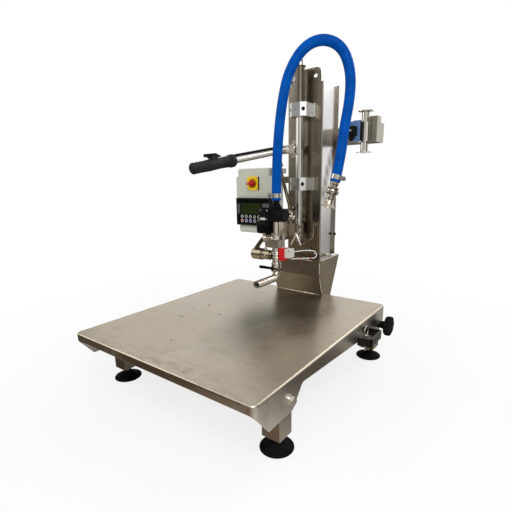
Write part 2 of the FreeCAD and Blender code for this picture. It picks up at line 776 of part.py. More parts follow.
def guide_blocks():
    solids = []
    for z in (GUIDE_LOWER_Z, GUIDE_UPPER_Z):
        solids.append(guide_block(z))
        solids.append(pipe((0, SHAFT_Y, z), (0, SHAFT_Y, z + GUIDE_HEIGHT), BUSH_DIAMETER / 2,
                           SHAFT_DIAMETER / 2 + RUNNING_CLEARANCE))
    return group(solids)


def small_screws():
    """Socket screws in the guide chamfers and the lid's corner screws."""
    solids = []
    for z in (GUIDE_LOWER_Z, GUIDE_UPPER_Z):
        middle = z + GUIDE_HEIGHT / 2
        for side in (-1, 1):
            x0, y0 = chamfer_point(side, 2)
            x1, y1 = chamfer_point(side, GUIDE_SCREW_RECESS)
            head = bar((x0, y0, middle), (x1, y1, middle), GUIDE_SCREW_HEAD / 2)
            socket = hex_bar(6, (x0, y0, middle), Vector(x1 - x0, y1 - y0, 0), 4)
            solids.append(head.cut(socket))
    for x, z in lid_corners():
        solids.append(bar((x, BOX_FRONT + LID_DEPTH - 4, z), (x, BOX_FRONT + LID_DEPTH, z), 4.5))
    return group(solids)


# Shaft and stop sleeve

def lift_shaft():
    radius = SHAFT_DIAMETER / 2
    profile = [(0, SHAFT_BOTTOM), (radius - 1.5, SHAFT_BOTTOM), (radius, SHAFT_BOTTOM + 1.5),
               (radius, SHAFT_TOP - 1.5), (radius - 1.5, SHAFT_TOP), (0, SHAFT_TOP)]
    return lathe(profile, (0, SHAFT_Y, 0))


def stop_sleeve():
    bottom = GUIDE_UPPER_Z + GUIDE_HEIGHT + REST_GAP
    top = bottom + SLEEVE_LENGTH
    inner = SHAFT_DIAMETER / 2
    outer = SLEEVE_DIAMETER / 2
    rim = SLEEVE_RIM_DIAMETER / 2
    profile = [(inner, bottom), (outer, bottom), (outer, top - SLEEVE_RIM), (rim, top - SLEEVE_RIM),
               (rim, top), (inner, top)]
    return lathe(profile, (0, SHAFT_Y, 0))


# Lever frame: u along the lever from the fulcrum towards the grip, n across it, downwards

def lever_point(along, down, x=LEVER_X):
    drop = math.radians(LEVER_DROP_DEG)
    y = FULCRUM_Y - along * math.cos(drop) + down * math.sin(drop)
    z = FULCRUM_Z - along * math.sin(drop) - down * math.cos(drop)
    return (x, y, z)


def lever_way():
    drop = math.radians(LEVER_DROP_DEG)
    return Vector(0, -math.cos(drop), -math.sin(drop))


def seated(solid, base, direction, roll_to=ALONG_X):
    """Place a solid modelled along +Z so that +Z points along direction and +X stays level."""
    z = Vector(direction)
    z.normalize()
    x = Vector(roll_to)
    y = z.cross(x)
    y.normalize()
    turn = FreeCAD.Matrix(x.x, y.x, z.x, base[0], x.y, y.y, z.y, base[1], x.z, y.z, z.z, base[2])
    solid.Placement = FreeCAD.Placement(turn)
    return solid


def clevis(size, slot, reach, pin_radius, neck_radius, tail):
    """Fork head with its pin bore at the origin, cheeks across X and its stem towards +Z."""
    half = size / 2
    body = prism(rectangle(-half, half, -half, half, 1.5), "xy", -half, reach)
    nose = bar((-half - 1, 0, 0), (half + 1, 0, 0), half)
    keep = nose.fuse(block(-half - 1, half + 1, -half - 1, half + 1, 0, reach + 1))
    body = body.common(keep)
    body = body.cut(block(-slot / 2, slot / 2, -half - 1, half + 1, -half - 1, reach * 0.68))
    body = body.cut(bar((-half - 1, 0, 0), (half + 1, 0, 0), pin_radius))
    wide = neck_radius + 2
    neck = lathe([(0, reach - 1), (wide, reach - 1), (wide, reach + tail), (0, reach + tail)])
    return fuse([body, neck])


def clevis_pin(size, radius):
    head = size / 2 + PIN_CLIP
    shank = bar((-head, 0, 0), (head, 0, 0), radius)
    clips = [bar((-head, 0, 0), (PIN_CLIP - head, 0, 0), radius + 2.5),
             bar((head - PIN_CLIP, 0, 0), (head, 0, 0), radius + 2.5)]
    return fuse([shank] + clips)


def fulcrum_bracket():
    """Ear from the column's web, with its foot plate, for the lever's fork."""
    half = CLEVIS_SLOT / 2 - SLIDING_GAP
    radius = CLEVIS_SIZE / 2 - 1
    y, z = FULCRUM_Y, FULCRUM_Z
    ear = bar((LEVER_X - half, y, z), (LEVER_X + half, y, z), radius)
    web = block(LEVER_X - half, LEVER_X + half, y, COLUMN_FRONT - 5, z - radius, z + radius)
    foot = block(LEVER_X - 22, LEVER_X + 22, COLUMN_FRONT - 5, COLUMN_FRONT, z - 30, z + 30)
    ear = fuse([ear, web, foot])
    hole = CLEVIS_PIN_DIAMETER / 2 + RUNNING_CLEARANCE
    return ear.cut(bar((LEVER_X - 20, y, z), (LEVER_X + 20, y, z), hole))


def lever_fork():
    neck_radius = LEVER_TUBE_DIAMETER / 2 - 2
    fork = clevis(CLEVIS_SIZE, CLEVIS_SLOT, CLEVIS_REACH, CLEVIS_PIN_DIAMETER / 2, neck_radius, 8)
    pin = clevis_pin(CLEVIS_SIZE, CLEVIS_PIN_DIAMETER / 2)
    return group([seated(fuse([fork, pin]), lever_point(0, 0), lever_way())])


def lever_tube():
    start = CLEVIS_REACH + 8
    radius = LEVER_TUBE_DIAMETER / 2
    tube = pipe(lever_point(start, 0), lever_point(LEVER_LENGTH - 6, 0), radius, radius - LEVER_TUBE_WALL)
    half = LINK_LUG_THICKNESS / 2
    eye = lever_point(LINK_ARM, LINK_DROP)
    lug = bar((LEVER_X - half, eye[1], eye[2]), (LEVER_X + half, eye[1], eye[2]), LINK_LUG_RADIUS)
    stem = block(-half, half, LINK_LUG_RADIUS * -1, LINK_LUG_RADIUS, 0, LINK_DROP - radius + LEVER_TUBE_WALL)
    stem = seated(stem, eye, Vector(*lever_point(LINK_ARM, 0)) - Vector(*eye))
    hole = bar((LEVER_X - half - 1, eye[1], eye[2]), (LEVER_X + half + 1, eye[1], eye[2]),
               LINK_PIN_DIAMETER / 2 + LINK_PLAY)
    return group([fuse([tube, fuse([lug, stem]).cut(hole)]), release_rod()])


def lever_grip():
    """Moulded grip with finger waves on top, a flared collar and the trigger's ears."""
    radius = GRIP_DIAMETER / 2
    collar = GRIP_COLLAR_DIAMETER / 2
    bore = LEVER_TUBE_DIAMETER / 2
    end = GRIP_LENGTH
    profile = [(bore, 0), (collar - 2, 0), (collar, 3), (collar, 14), (radius + 1, 26), (radius, 60),
               (radius + 1, end * 0.6), (radius, end * 0.8), (radius, end - 6), (radius - 6, end),
               (0, end), (0, end - 6), (bore, end - 6)]
    grip = lathe(profile)
    for i in range(3):
        along = end - 16 - 14 * i
        grip = grip.cut(bar((-radius - 2, radius + 5.5, along), (radius + 2, radius + 5.5, along), 8))
    ear_top = TRIGGER_RISE + TRIGGER_PIN_DIAMETER
    ears = block(-TRIGGER_WIDTH, TRIGGER_WIDTH, radius - 4, ear_top, TRIGGER_BACK - 14, TRIGGER_BACK + 9)
    gap = TRIGGER_WIDTH / 2 + SLIDING_GAP
    slot = block(-gap, gap, radius - 0.5, ear_top + 1, TRIGGER_BACK - 40, TRIGGER_BACK + 40)
    grip = grip.fuse(ears).cut(slot)
    pin = bar((-TRIGGER_WIDTH, TRIGGER_RISE, TRIGGER_BACK), (TRIGGER_WIDTH, TRIGGER_RISE, TRIGGER_BACK),
              TRIGGER_PIN_DIAMETER / 2)
    grip = grip.cut(pin).removeSplitter()
    front = lever_point(LEVER_LENGTH - GRIP_LENGTH, 0)
    return group([seated(grip, front, lever_way()), seated(pin, front, lever_way())])


def trigger():
    """Brake-type trigger above the grip, pivoted between the grip's ears."""
    outline = [(-31, -2.5, 1), (-31, -0.5, 1), (-12, 9, 4), (28, 11, 1.5),
               (29, 4, 1), (9, -1, 4), (5, -4, 2), (-8, -4, 2)]
    half = TRIGGER_WIDTH / 2
    blade = prism([(v, u, r) for u, v, r in outline][::-1], "yz", -half, half)
    blade = blade.cut(bar((-half - 1, 0, 0), (half + 1, 0, 0), TRIGGER_PIN_DIAMETER / 2 + RUNNING_CLEARANCE))
    pivot = lever_point(LEVER_LENGTH - GRIP_LENGTH + TRIGGER_BACK, -TRIGGER_RISE)
    return group([seated(group([blade]), pivot, lever_way())])


def release_rod():
    """Thin rod along the top of the lever's tube."""
    gap = LEVER_TUBE_DIAMETER / 2 + RELEASE_ROD_DIAMETER / 2
    return bar(lever_point(CLEVIS_REACH + 12, -gap), lever_point(LEVER_LENGTH - GRIP_LENGTH - 1, -gap),
               RELEASE_ROD_DIAMETER / 2)


# Link between the lever and the carriage

def link_end():
    return Vector(*lever_point(LINK_ARM, LINK_DROP))


def link_rod():
    """Rod with a fork and pin at each end, hanging from the lever's lug."""
    foot = Vector(LEVER_X, SHAFT_Y + LINK_FOOT_OFFSET, LINK_FOOT_Z)
    head = link_end()
    way = head - foot
    way.normalize()
    fork = clevis(FORK_SIZE, FORK_SLOT, FORK_REACH, FOOT_PIN_DIAMETER / 2, 5, 12)
    foot_fork = fuse([fork, clevis_pin(FORK_SIZE, FOOT_PIN_DIAMETER / 2)])
    fork = clevis(HEAD_FORK_SIZE, FORK_SLOT, FORK_REACH - 2, LINK_PIN_DIAMETER / 2, 5, 10)
    head_fork = fuse([fork, clevis_pin(HEAD_FORK_SIZE, LINK_PIN_DIAMETER / 2)])
    rod = bar(foot + way * FORK_REACH, head - way * (FORK_REACH - 2), LINK_ROD_DIAMETER / 2)
    whole = rod.fuse([seated(foot_fork, foot, way), seated(head_fork, head, way * -1)])
    return whole


# Carriage on the lower end of the shaft

def shaft_hub():
    """Clamping sleeve round the shaft's lower end, with a flat for the arm and its two clamp nuts."""
    half = HUB_WIDTH / 2
    y0 = SHAFT_Y - half
    y1 = SHAFT_Y + half
    sleeve = bar((0, SHAFT_Y, HUB_BOTTOM), (0, SHAFT_Y, HUB_TOP), HUB_SLEEVE_DIAMETER / 2)
    flat = block(-half, 0, y0 + 5, y1 - 5, HUB_BOTTOM, HUB_TOP)
    lips = prism(rectangle(-HUB_LIP, HUB_LIP, y0, SHAFT_Y, 2), "xy", HUB_BOTTOM, HUB_TOP)
    body = fuse([sleeve, flat, lips])
    body = body.cut(bar((0, SHAFT_Y, HUB_BOTTOM - 1), (0, SHAFT_Y, HUB_TOP + 1), SHAFT_DIAMETER / 2))
    body = body.cut(block(-1, 1, y0 - 1, SHAFT_Y, HUB_BOTTOM - 1, HUB_TOP + 1))
    solids = [body]
    for z in (HUB_BOTTOM + 11, HUB_TOP - 11):
        solids.append(hex_bar(8, (HUB_LIP, y0 + 5, z), ALONG_X, 5))
    return group(solids)


def head_arm():
    """Side plate from the hub to the filling pipe, with the link's ear and the pipe clamp."""
    half = ARM_THICKNESS / 2
    front = HEAD_Y - PIPE_CLAMP_DEPTH / 2
    back = HEAD_Y + PIPE_CLAMP_DEPTH / 2
    rear = SHAFT_Y + HUB_WIDTH / 2 - 5
    ear_y = SHAFT_Y + LINK_FOOT_OFFSET
    outline = [(front, ARM_FRONT_BOTTOM, 3), (back + 6, ARM_FRONT_BOTTOM, 10),
               (rear - ARM_STEP_BELOW, HUB_BOTTOM, 12), (rear, HUB_BOTTOM, 3),
               (rear, HUB_TOP, 3), (rear - ARM_STEP_ABOVE, HUB_TOP, 12),
               (back, ARM_FRONT_TOP, 10), (front, ARM_FRONT_TOP, 3)]
    plate = prism(outline, "yz", LEVER_X - half, LEVER_X + half)
    ear = bar((LEVER_X - half, ear_y, LINK_FOOT_Z), (LEVER_X + half, ear_y, LINK_FOOT_Z), ARM_EAR_RADIUS)
    neck = block(LEVER_X - half, LEVER_X + half, ear_y - ARM_EAR_RADIUS, ear_y + ARM_EAR_RADIUS,
                 HUB_TOP - 10, LINK_FOOT_Z)
    clamp = block(LEVER_X + half, PIPE_CLAMP_RIGHT, front, back, ARM_FRONT_BOTTOM, ARM_FRONT_TOP)
    arm = fuse([plate, ear, neck, clamp])
    arm = arm.cut(bar((LEVER_X - half - 1, ear_y, LINK_FOOT_Z), (LEVER_X + half + 1, ear_y, LINK_FOOT_Z),
                      FOOT_PIN_DIAMETER / 2 + RUNNING_CLEARANCE))
    arm = arm.cut(bar((0, HEAD_Y, ARM_FRONT_BOTTOM - 1), (0, HEAD_Y, ARM_FRONT_TOP + 1), TUBE_DIAMETER / 2))
    slit = block(0, PIPE_CLAMP_RIGHT + 1, HEAD_Y - 1, HEAD_Y + 1, ARM_FRONT_BOTTOM - 1, ARM_FRONT_TOP + 1)
    return arm.cut(slit)


# Filling head

def head_bar(z0, z1, radius):
    return bar((0, HEAD_Y, z0), (0, HEAD_Y, z1), radius)


def tube_bore(z0, z1):
    return head_bar(z0, z1, TUBE_DIAMETER / 2 - TUBE_WALL)


def ferrule_profile(z, flip):
    """Outline of a clamp ferrule seated at height z, widening upwards or downwards."""
    inner = TUBE_DIAMETER / 2
    outer = FERRULE_DIAMETER / 2
    t = FERRULE_THICKNESS * flip
    return [(inner - 1, z), (outer, z), (outer, z + t * FERRULE_RIM_SHARE), (inner + FERRULE_NECK, z + t),
            (inner - 1, z + t)]


def fill_valve():
    """Plastic valve body with its hose tail, ribbed cap and the steel spigot below."""
    half = VALVE_WIDTH / 2
    outline = rectangle(VALVE_LEFT, VALVE_RIGHT, HEAD_Y - half, HEAD_Y + half, 5)
    body = prism(outline, "xy", VALVE_BOTTOM, VALVE_TOP)
    tail_profile = [(0, VALVE_TOP - 1), (16, VALVE_TOP - 1), (16, VALVE_TOP + 8), (11, VALVE_TOP + 12),
                    (11, HOSE_END_Z - 2)]
    barb = HOSE_BORE / 2 - SLIDING_GAP
    for i in range(3):
        low = HOSE_END_Z - 2 + i * 9
        tail_profile += [(barb, low), (barb - 1.2, low + 9)]
    tail_profile += [(0, HOSE_END_Z + 25)]
    tail = lathe(tail_profile, (0, HEAD_Y, 0))
    middle = (VALVE_TOP + VALVE_BOTTOM) / 2
    cap_radius = VALVE_CAP_DIAMETER / 2
    cap = bar((VALVE_RIGHT - 1, HEAD_Y, middle), (VALVE_RIGHT + VALVE_CAP_LENGTH, HEAD_Y, middle), cap_radius)
    for i in range(12):
        angle = math.pi * i / 6
        y = HEAD_Y + cap_radius * math.cos(angle)
        z = middle + cap_radius * math.sin(angle)
        cap = cap.cut(bar((VALVE_RIGHT + 4, y, z), (VALVE_RIGHT + VALVE_CAP_LENGTH + 1, y, z), 2))
    body = fuse([body, tail, cap]).cut(tube_bore(VALVE_BOTTOM - 1, VALVE_TOP))
    body = body.cut(head_bar(VALVE_TOP - 1, HOSE_END_Z + 26, HOSE_BORE / 2 - 4))
    stem = bar((-20, HEAD_Y - 8, VALVE_TOP - 2), (-20, HEAD_Y - 8, VALVE_TOP + 34), 2.5)
    return fuse([body, stem])


def valve_spigot():
    """Steel tube from the valve down to its clamp ferrule."""
    low = CLAMP_Z + GASKET_THICKNESS / 2
    ferrule = lathe(ferrule_profile(low, 1), (0, HEAD_Y, 0))
    whole = fuse([ferrule, head_bar(low, VALVE_BOTTOM, TUBE_DIAMETER / 2)])
    return whole.cut(tube_bore(low - 1, VALVE_BOTTOM + 1))


def valve_actuator():
    """Drive housing under the valve body, beside and behind the spigot."""
    low = VALVE_BOTTOM - ACTUATOR_HEIGHT
    rear_y = HEAD_Y + ACTUATOR_REAR
    main = prism(rectangle(ACTUATOR_LEFT, ACTUATOR_RIGHT, HEAD_Y - ACTUATOR_FRONT, rear_y, 12), "xy",
                 low, VALVE_BOTTOM)
    neck = prism(rectangle(DRIVE_NECK_LEFT, DRIVE_NECK_RIGHT, HEAD_Y + DRIVE_NECK_FRONT, rear_y, 8), "xy",
                 low + 6, VALVE_BOTTOM)
    body = fuse([main, neck])
    screws = []
    for dy, dz in DRIVE_SCREW_PLACES:
        y = HEAD_Y + dy
        z = low + dz
        head = (ACTUATOR_LEFT - DRIVE_SCREW_HEAD, y, z)
        screws.append(bar(head, (ACTUATOR_LEFT, y, z), DRIVE_SCREW_RADIUS))
    return group([body] + screws)


def fill_pipes():
    """Filling pipe from the clamp to the union, with its collar."""
    high = CLAMP_Z - GASKET_THICKNESS / 2
    ferrule = lathe(ferrule_profile(high, -1), (0, HEAD_Y, 0))
    upper = head_bar(UNION_TOP, high, TUBE_DIAMETER / 2)
    sleeve = head_bar(UNION_TOP, ARM_FRONT_BOTTOM, SLEEVE_PIPE_DIAMETER / 2)
    collar = head_bar(COLLAR_Z - COLLAR_BELOW, COLLAR_Z + COLLAR_ABOVE, COLLAR_DIAMETER / 2)
    whole = fuse([ferrule, upper, sleeve, collar])
    return whole.cut(tube_bore(UNION_TOP - 1, high + 1))


def tri_clamp():
    """Two-part clamp ring over the ferrules, with its seal."""
    half = CLAMP_HEIGHT / 2
    outer = CLAMP_DIAMETER / 2
    grip_radius = FERRULE_DIAMETER / 2
    lip = TUBE_DIAMETER / 2 + 7
    rim = (GASKET_THICKNESS / 2 + FERRULE_THICKNESS * FERRULE_RIM_SHARE) + SLIDING_GAP
    slope = FERRULE_THICKNESS * (1 - FERRULE_RIM_SHARE) / (grip_radius - TUBE_DIAMETER / 2 - FERRULE_NECK)
    edge = rim + (grip_radius - lip) * slope
    profile = [(lip, -half), (outer, -half), (outer, half), (lip, half), (lip, edge),
               (grip_radius + SLIDING_GAP, rim), (grip_radius + SLIDING_GAP, -rim), (lip, -edge)]
    body = lathe(profile, (0, HEAD_Y, CLAMP_Z))
    lug_front = HEAD_Y - outer - WING_BOLT_OFFSET - 6
    lug = block(-9, 9, lug_front, HEAD_Y - outer + 3, CLAMP_Z - half + 1, CLAMP_Z + half - 1)
    hinge = block(-7, 7, HEAD_Y + outer - 2, HEAD_Y + outer + 7, CLAMP_Z - half + 2, CLAMP_Z + half - 2)
    body = fuse([body, lug, hinge])
    body = body.cut(block(-2, 2, HEAD_Y - outer - WING_BOLT_OFFSET - 7, HEAD_Y - lip + 2,
                          CLAMP_Z - half - 1, CLAMP_Z + half + 1))
    bolt_y = HEAD_Y - outer - WING_BOLT_OFFSET
    hole = WING_BOLT_DIAMETER / 2 + RUNNING_CLEARANCE
    body = body.cut(bar((-10, bolt_y, CLAMP_Z), (10, bolt_y, CLAMP_Z), hole))
    seal = pipe((0, HEAD_Y, CLAMP_Z - GASKET_THICKNESS / 2), (0, HEAD_Y, CLAMP_Z + GASKET_THICKNESS / 2),
                grip_radius - 2, TUBE_DIAMETER / 2 - TUBE_WALL)
    return group([body, seal])


def wing_nut():
    """Wing nut with the clamp's bolt, its axis along X."""
    y = HEAD_Y - CLAMP_DIAMETER / 2 - WING_BOLT_OFFSET
    bolt = bar((-28, y, CLAMP_Z), (12, y, CLAMP_Z), WING_BOLT_DIAMETER / 2)
    head = bar((9 + SLIDING_GAP, y, CLAMP_Z), (14, y, CLAMP_Z), 5)
    nut = bar((-25, y, CLAMP_Z), (-9 - SLIDING_GAP, y, CLAMP_Z), 6)
    wings = prism([(-25, 4, 0), (-16, 4, 2), (-17, WING_REACH, 3), (-26, WING_REACH, 3)], "xz", -1.5, 1.5)
    lower = prism([(-25, -4, 0), (-26, -WING_REACH, 3), (-17, -WING_REACH, 3), (-16, -4, 2)], "xz", -1.5, 1.5)
    for wing in (wings, lower):
        wing.translate(Vector(0, y, CLAMP_Z))
    return fuse([bolt, head, nut, wings, lower])


def nozzle():
    """Union and outlet valve body, then the bend and the open filling nozzle."""
    bend = TUBE_DIAMETER
    union = head_bar(UNION_BOTTOM, UNION_TOP, UNION_DIAMETER / 2)
    nut = hex_bar(UNION_DIAMETER + 1, (0, HEAD_Y, UNION_BOTTOM + 5), UP, 10)
    stem = bar((0, HEAD_Y, OUTLET_STEM_Z), (0, HEAD_Y - UNION_DIAMETER / 2 - 4, OUTLET_STEM_Z), 6)
    route = [Vector(0, HEAD_Y, UNION_TOP - 5), Vector(0, HEAD_Y, NOZZLE_Z), Vector(0, NOZZLE_FRONT, NOZZLE_Z)]
    bent = swept(route, TUBE_DIAMETER / 2, bend).cut(swept(route, TUBE_DIAMETER / 2 - TUBE_WALL, bend))
    whole = fuse([union, nut, stem]).cut(tube_bore(UNION_BOTTOM - 1, UNION_TOP + 1)).fuse(bent)
    spindle_bore = bar((0, HEAD_Y - 9, OUTLET_STEM_Z), (0, HEAD_Y - 30, OUTLET_STEM_Z), 3 + RUNNING_CLEARANCE)
    return whole.cut(spindle_bore)


def outlet_lever():
    """Hand lever of the outlet valve with its spindle, pointing to -X when closed."""
    face = HEAD_Y - UNION_DIAMETER / 2 - 4 - SLIDING_GAP
    spindle = bar((0, face - 5, OUTLET_STEM_Z), (0, HEAD_Y - 14, OUTLET_STEM_Z), 3)
    hub = bar((0, face - 7, OUTLET_STEM_Z), (0, face, OUTLET_STEM_Z), 7)
    far = -OUTLET_LEVER_LENGTH
    outline = [(0, OUTLET_STEM_Z - 4, 2), (0, OUTLET_STEM_Z + 4, 2), (far, OUTLET_STEM_Z + 5, 4),
               (far, OUTLET_STEM_Z - 5, 4)]
    grip = prism(outline, "xz", face - 6, face - 1.5)
    return fuse([spindle, hub, grip])


def vacuum_port():
    """Side port with its cap and the folded strap up to the drive housing."""
    radius = VACUUM_DIAMETER / 2
    pipe_side = -SLEEVE_PIPE_DIAMETER / 2

    def at(x):
        return (x, HEAD_Y, VACUUM_Z)

    body = bar(at(VACUUM_CAP_RIGHT), at(-24), radius)
    body = fuse([body, bar(at(-24), at(pipe_side - 1), 12)])
    body = body.cut(head_bar(VACUUM_Z - 30, VACUUM_Z + 30, SLEEVE_PIPE_DIAMETER / 2))
    body = body.cut(head_bar(COLLAR_Z - COLLAR_BELOW, COLLAR_Z + COLLAR_ABOVE, COLLAR_DIAMETER / 2))
    cap = bar(at(VACUUM_LEFT), at(VACUUM_CAP_RIGHT), radius + 3)
    cap = cap.makeFillet(4, [e for e in cap.Edges if e.BoundBox.XMax < VACUUM_LEFT + 0.5])
    top = VALVE_BOTTOM - ACTUATOR_HEIGHT
    strap = [(-32, top, 0), (-42, top, 2), (-83, VACUUM_Z + radius + 8, 3), (-83, VACUUM_Z + radius - 3, 0),
             (-80.5, VACUUM_Z + radius - 3, 0), (-80.5, VACUUM_Z + radius + 7, 1), (-41, top - 2.5, 2),
             (-32, top - 2.5, 0)]
    strap = prism(strap, "xz", HEAD_Y - 14, HEAD_Y + 14)
    strap = strap.cut(bar(at(VACUUM_LEFT), at(-24), radius + 3))
    return group([body, cap, strap])


def sensor_block():
    """Red level switch on the pipe's right side, with its spigot."""
    block_left = SLEEVE_PIPE_DIAMETER / 2 + 1.5
    outline = rectangle(block_left, block_left + 22, SENSOR_BOTTOM, SENSOR_TOP, 3)
    body = prism(outline, "xz", HEAD_Y - 13, HEAD_Y + 13)
    spigot = bar((0, HEAD_Y, COLLAR_Z), (block_left + 2, HEAD_Y, COLLAR_Z), 6)
    return fuse([body, spigot]).cut(head_bar(SENSOR_BOTTOM, SENSOR_TOP, COLLAR_DIAMETER / 2))


def sensor_plug():
    """Grey plug on the level switch."""
    left = SLEEVE_PIPE_DIAMETER / 2 + 23.5
    outline = rectangle(left, left + 20, SENSOR_TOP - 30, SENSOR_TOP - 1, 2)
    return prism(outline, "xz", HEAD_Y - 11, HEAD_Y + 17)


def route_edges(points, bend=None):
    """Straight runs joined by tangent arcs; the arc is 0.45 of the shorter run unless a bend is given."""
    edges = []
    radii = []
    start = points[0]
    for i in range(1, len(points) - 1):
        here = points[i]
        back = points[i - 1] - here
        ahead = points[i + 1] - here
        half = back.getAngle(ahead) / 2
        reach = 0.45 * min(back.Length, ahead.Length)
        radius = reach * math.tan(half)
        if bend:
            radius = bend
            reach = bend / math.tan(half)
        back.normalize()
        ahead.normalize()
        towards = back + ahead
        towards.normalize()
        first = here + back * reach
        last = here + ahead * reach
        edges.append(Part.LineSegment(start, first).toShape())
        edges.append(Part.Arc(first, here + towards * (radius / math.sin(half) - radius), last).toShape())
        radii.append(round(radius, 1))
        start = last
    edges.append(Part.LineSegment(start, points[-1]).toShape())
    return edges, radii


def swept(points, radius, bend=None):
    edges, radii = route_edges(points, bend)
    wire = Part.Wire(edges)
    circle = Part.Wire([Part.makeCircle(radius, points[0], points[1] - points[0])])
    return wire.makePipeShell([circle], True, False)


def cord(name, points, outer, inner=0):
    """Hose or cord along a route; prints its length, radii and volume against section times length."""
    edges, radii = route_edges(points)
    length = sum(edge.Length for edge in edges)
    solid = swept(points, outer / 2)
    if inner:
        solid = solid.cut(swept(points, inner / 2))
    section = math.pi * (outer ** 2 - inner ** 2) / 4
    ratio = round(solid.Volume / section / length, 4)
    print(name, "length", round(length, 1), "radii", radii, "volume ratio", ratio)
    return solid


def hose():
    return cord("hose", [Vector(*p) for p in HOSE_ROUTE], HOSE_DIAMETER, HOSE_BORE)


def sensor_tube():
    x0, y0 = SENSOR_TUBE_START
    way_x, way_y = SENSOR_TUBE_WAY
    points = [Vector(x0 + way_x * s, y0 + way_y * s, z) for s, z in SENSOR_TUBE_ROUTE]
    return cord("sensor_tube", points, SENSOR_TUBE_DIAMETER)


def hose_clamp(centre, way, side):
    """Bolt clamp: band, two ears and a screw standing off to one side."""
    inner = HOSE_DIAMETER / 2 + SLIDING_GAP
    outer = inner + HOSE_CLAMP_RADIAL
    half = HOSE_CLAMP_WIDTH / 2
    band = pipe((0, 0, -half), (0, 0, half), outer, inner)
    ears = [block(outer - 1, outer + 11, y, y + 2, -half + 1, half - 1) for y in (-5, 3)]
    screw = bar((outer + 6, -9, 0), (outer + 6, 15, 0), 2.5)
    head = hex_bar(9, (outer + 6, -13, 0), ALONG_Y, 4)
    clamp = fuse([band] + ears + [screw, head])
    return seated(clamp, centre, way, side)


def hose_clamps():
    start = Vector(*HOSE_ROUTE[0])
    end = Vector(*HOSE_ROUTE[-1])
    first_way = Vector(*HOSE_ROUTE[1]) - start
    last_way = end - Vector(*HOSE_ROUTE[-2])
    setback = HOSE_CLAMP_SETBACK + HOSE_CLAMP_WIDTH / 2
    solids = []
    for point, way, side in ((start, first_way, -1), (end, last_way * -1, 1)):
        way.normalize()
        across = Vector(side, 0, 0) - way * (way.x * side)
        across.normalize()
        solids.append(hose_clamp(point + way * setback, way, across))
    return group(solids)


def hose_fitting():
    """Barbed tail, hexagon, neck and clamp ferrule on the hose's free end."""
    end = Vector(*HOSE_ROUTE[-1])
    way = end - Vector(*HOSE_ROUTE[-2])
    way.normalize()
    barb = HOSE_BORE / 2 - SLIDING_GAP
    bore = TUBE_DIAMETER / 2 - TUBE_WALL - 3
    neck = TUBE_DIAMETER / 2
    rim = FERRULE_DIAMETER / 2
    root = barb - 1
    profile = [(bore, -24), (root, -24), (barb, -15), (root, -15), (barb, -6), (root, -6), (barb, 1),
               (14, 3), (14, 16), (neck, 18), (neck, FITTING_LENGTH - 6), (rim, FITTING_LENGTH - 2.5),
               (rim, FITTING_LENGTH), (bore, FITTING_LENGTH)]
    body = lathe(profile, end, way)
    nut = hex_bar(FITTING_HEX, end + way * 20, way, 22)
    bore_bar = bar(end + way * 15, end + way * 45, bore)
    return fuse([body, nut.cut(bore_bar)])


# Control box

def box_right():
    return BOX_LEFT + BOX_WIDTH


def lid_corners():
    inset_x = LID_NOTCH_WIDTH / 2
    inset_z = LID_NOTCH_HEIGHT / 2
    return [(x, z) for x in (BOX_LEFT + inset_x, box_right() - inset_x)
            for z in (BOX_BOTTOM + inset_z, BOX_TOP - inset_z)]


def enclosure_base():
    """Back shell of the control box with corner posts and side lugs."""
    left, right = BOX_LEFT, box_right()
    rear = BOX_FRONT + BOX_DEPTH
    split = BOX_FRONT + LID_DEPTH
    t = BOX_WALL
    outer = prism(rectangle(left, right, BOX_BOTTOM, BOX_TOP, BOX_CORNER), "xz", split, rear)
    hollow = rectangle(left + t, right - t, BOX_BOTTOM + t, BOX_TOP - t, BOX_CORNER - t)
    inner = prism(hollow, "xz", split - 1, rear - t)
    solids = [outer.cut(inner)]
    for x, z in lid_corners():
        half = LID_NOTCH_WIDTH / 2
        tall = LID_NOTCH_HEIGHT / 2
        post = block(x - half, x + half, split, rear, z - tall, z + tall)
        solids.append(post.common(outer))
    for z in (BOX_BOTTOM + 12, BOX_TOP - 12):
        lug = prism(rectangle(right - 4, right + 16, z - 10, z + 10, 4), "xz", rear - 5, rear)
        solids.append(lug.cut(bar((right + 7, rear - 6, z), (right + 7, rear + 1, z), 3)))
    return fuse(solids)


def enclosure_lid():
    """Front cover with notched corners and the switch's hole."""
    left, right = BOX_LEFT, box_right()
    split = BOX_FRONT + LID_DEPTH
    t = BOX_WALL
    lid = prism(rectangle(left, right, BOX_BOTTOM, BOX_TOP, BOX_CORNER), "xz", BOX_FRONT, split)
    edges = [e for e in lid.Edges if e.BoundBox.YMax < BOX_FRONT + 1e-6]
    lid = lid.makeFillet(2.5, edges)
    hollow = block(left + LID_NOTCH_WIDTH + t, right - LID_NOTCH_WIDTH - t, BOX_FRONT + t, split + 1,
                   BOX_BOTTOM + t, BOX_TOP - t)
    lid = lid.cut(hollow)
    for x, z in lid_corners():
        half = LID_NOTCH_WIDTH / 2
        tall = LID_NOTCH_HEIGHT / 2
        notch = block(x - half - 1, x + half + 0.5, BOX_FRONT - 1, split + 1, z - tall - 1, z + tall + 1)
        lid = lid.cut(notch)
    return lid.cut(bar((SWITCH_X, BOX_FRONT - 1, SWITCH_Z), (SWITCH_X, BOX_FRONT + t + 1, SWITCH_Z),
                       SWITCH_SHAFT_DIAMETER / 2 + 1))


def key_places():
    spots = []
    for row in range(2):
        for i in range(KEY_COLUMNS):
            spots.append((KEY_LEFT_X + KEY_PITCH_X * i, KEY_TOP_Z - KEY_PITCH_Z * row))
    return spots


def window_place():
    return WINDOW_LEFT, WINDOW_LEFT + WINDOW_WIDTH, WINDOW_BOTTOM, WINDOW_BOTTOM + WINDOW_HEIGHT


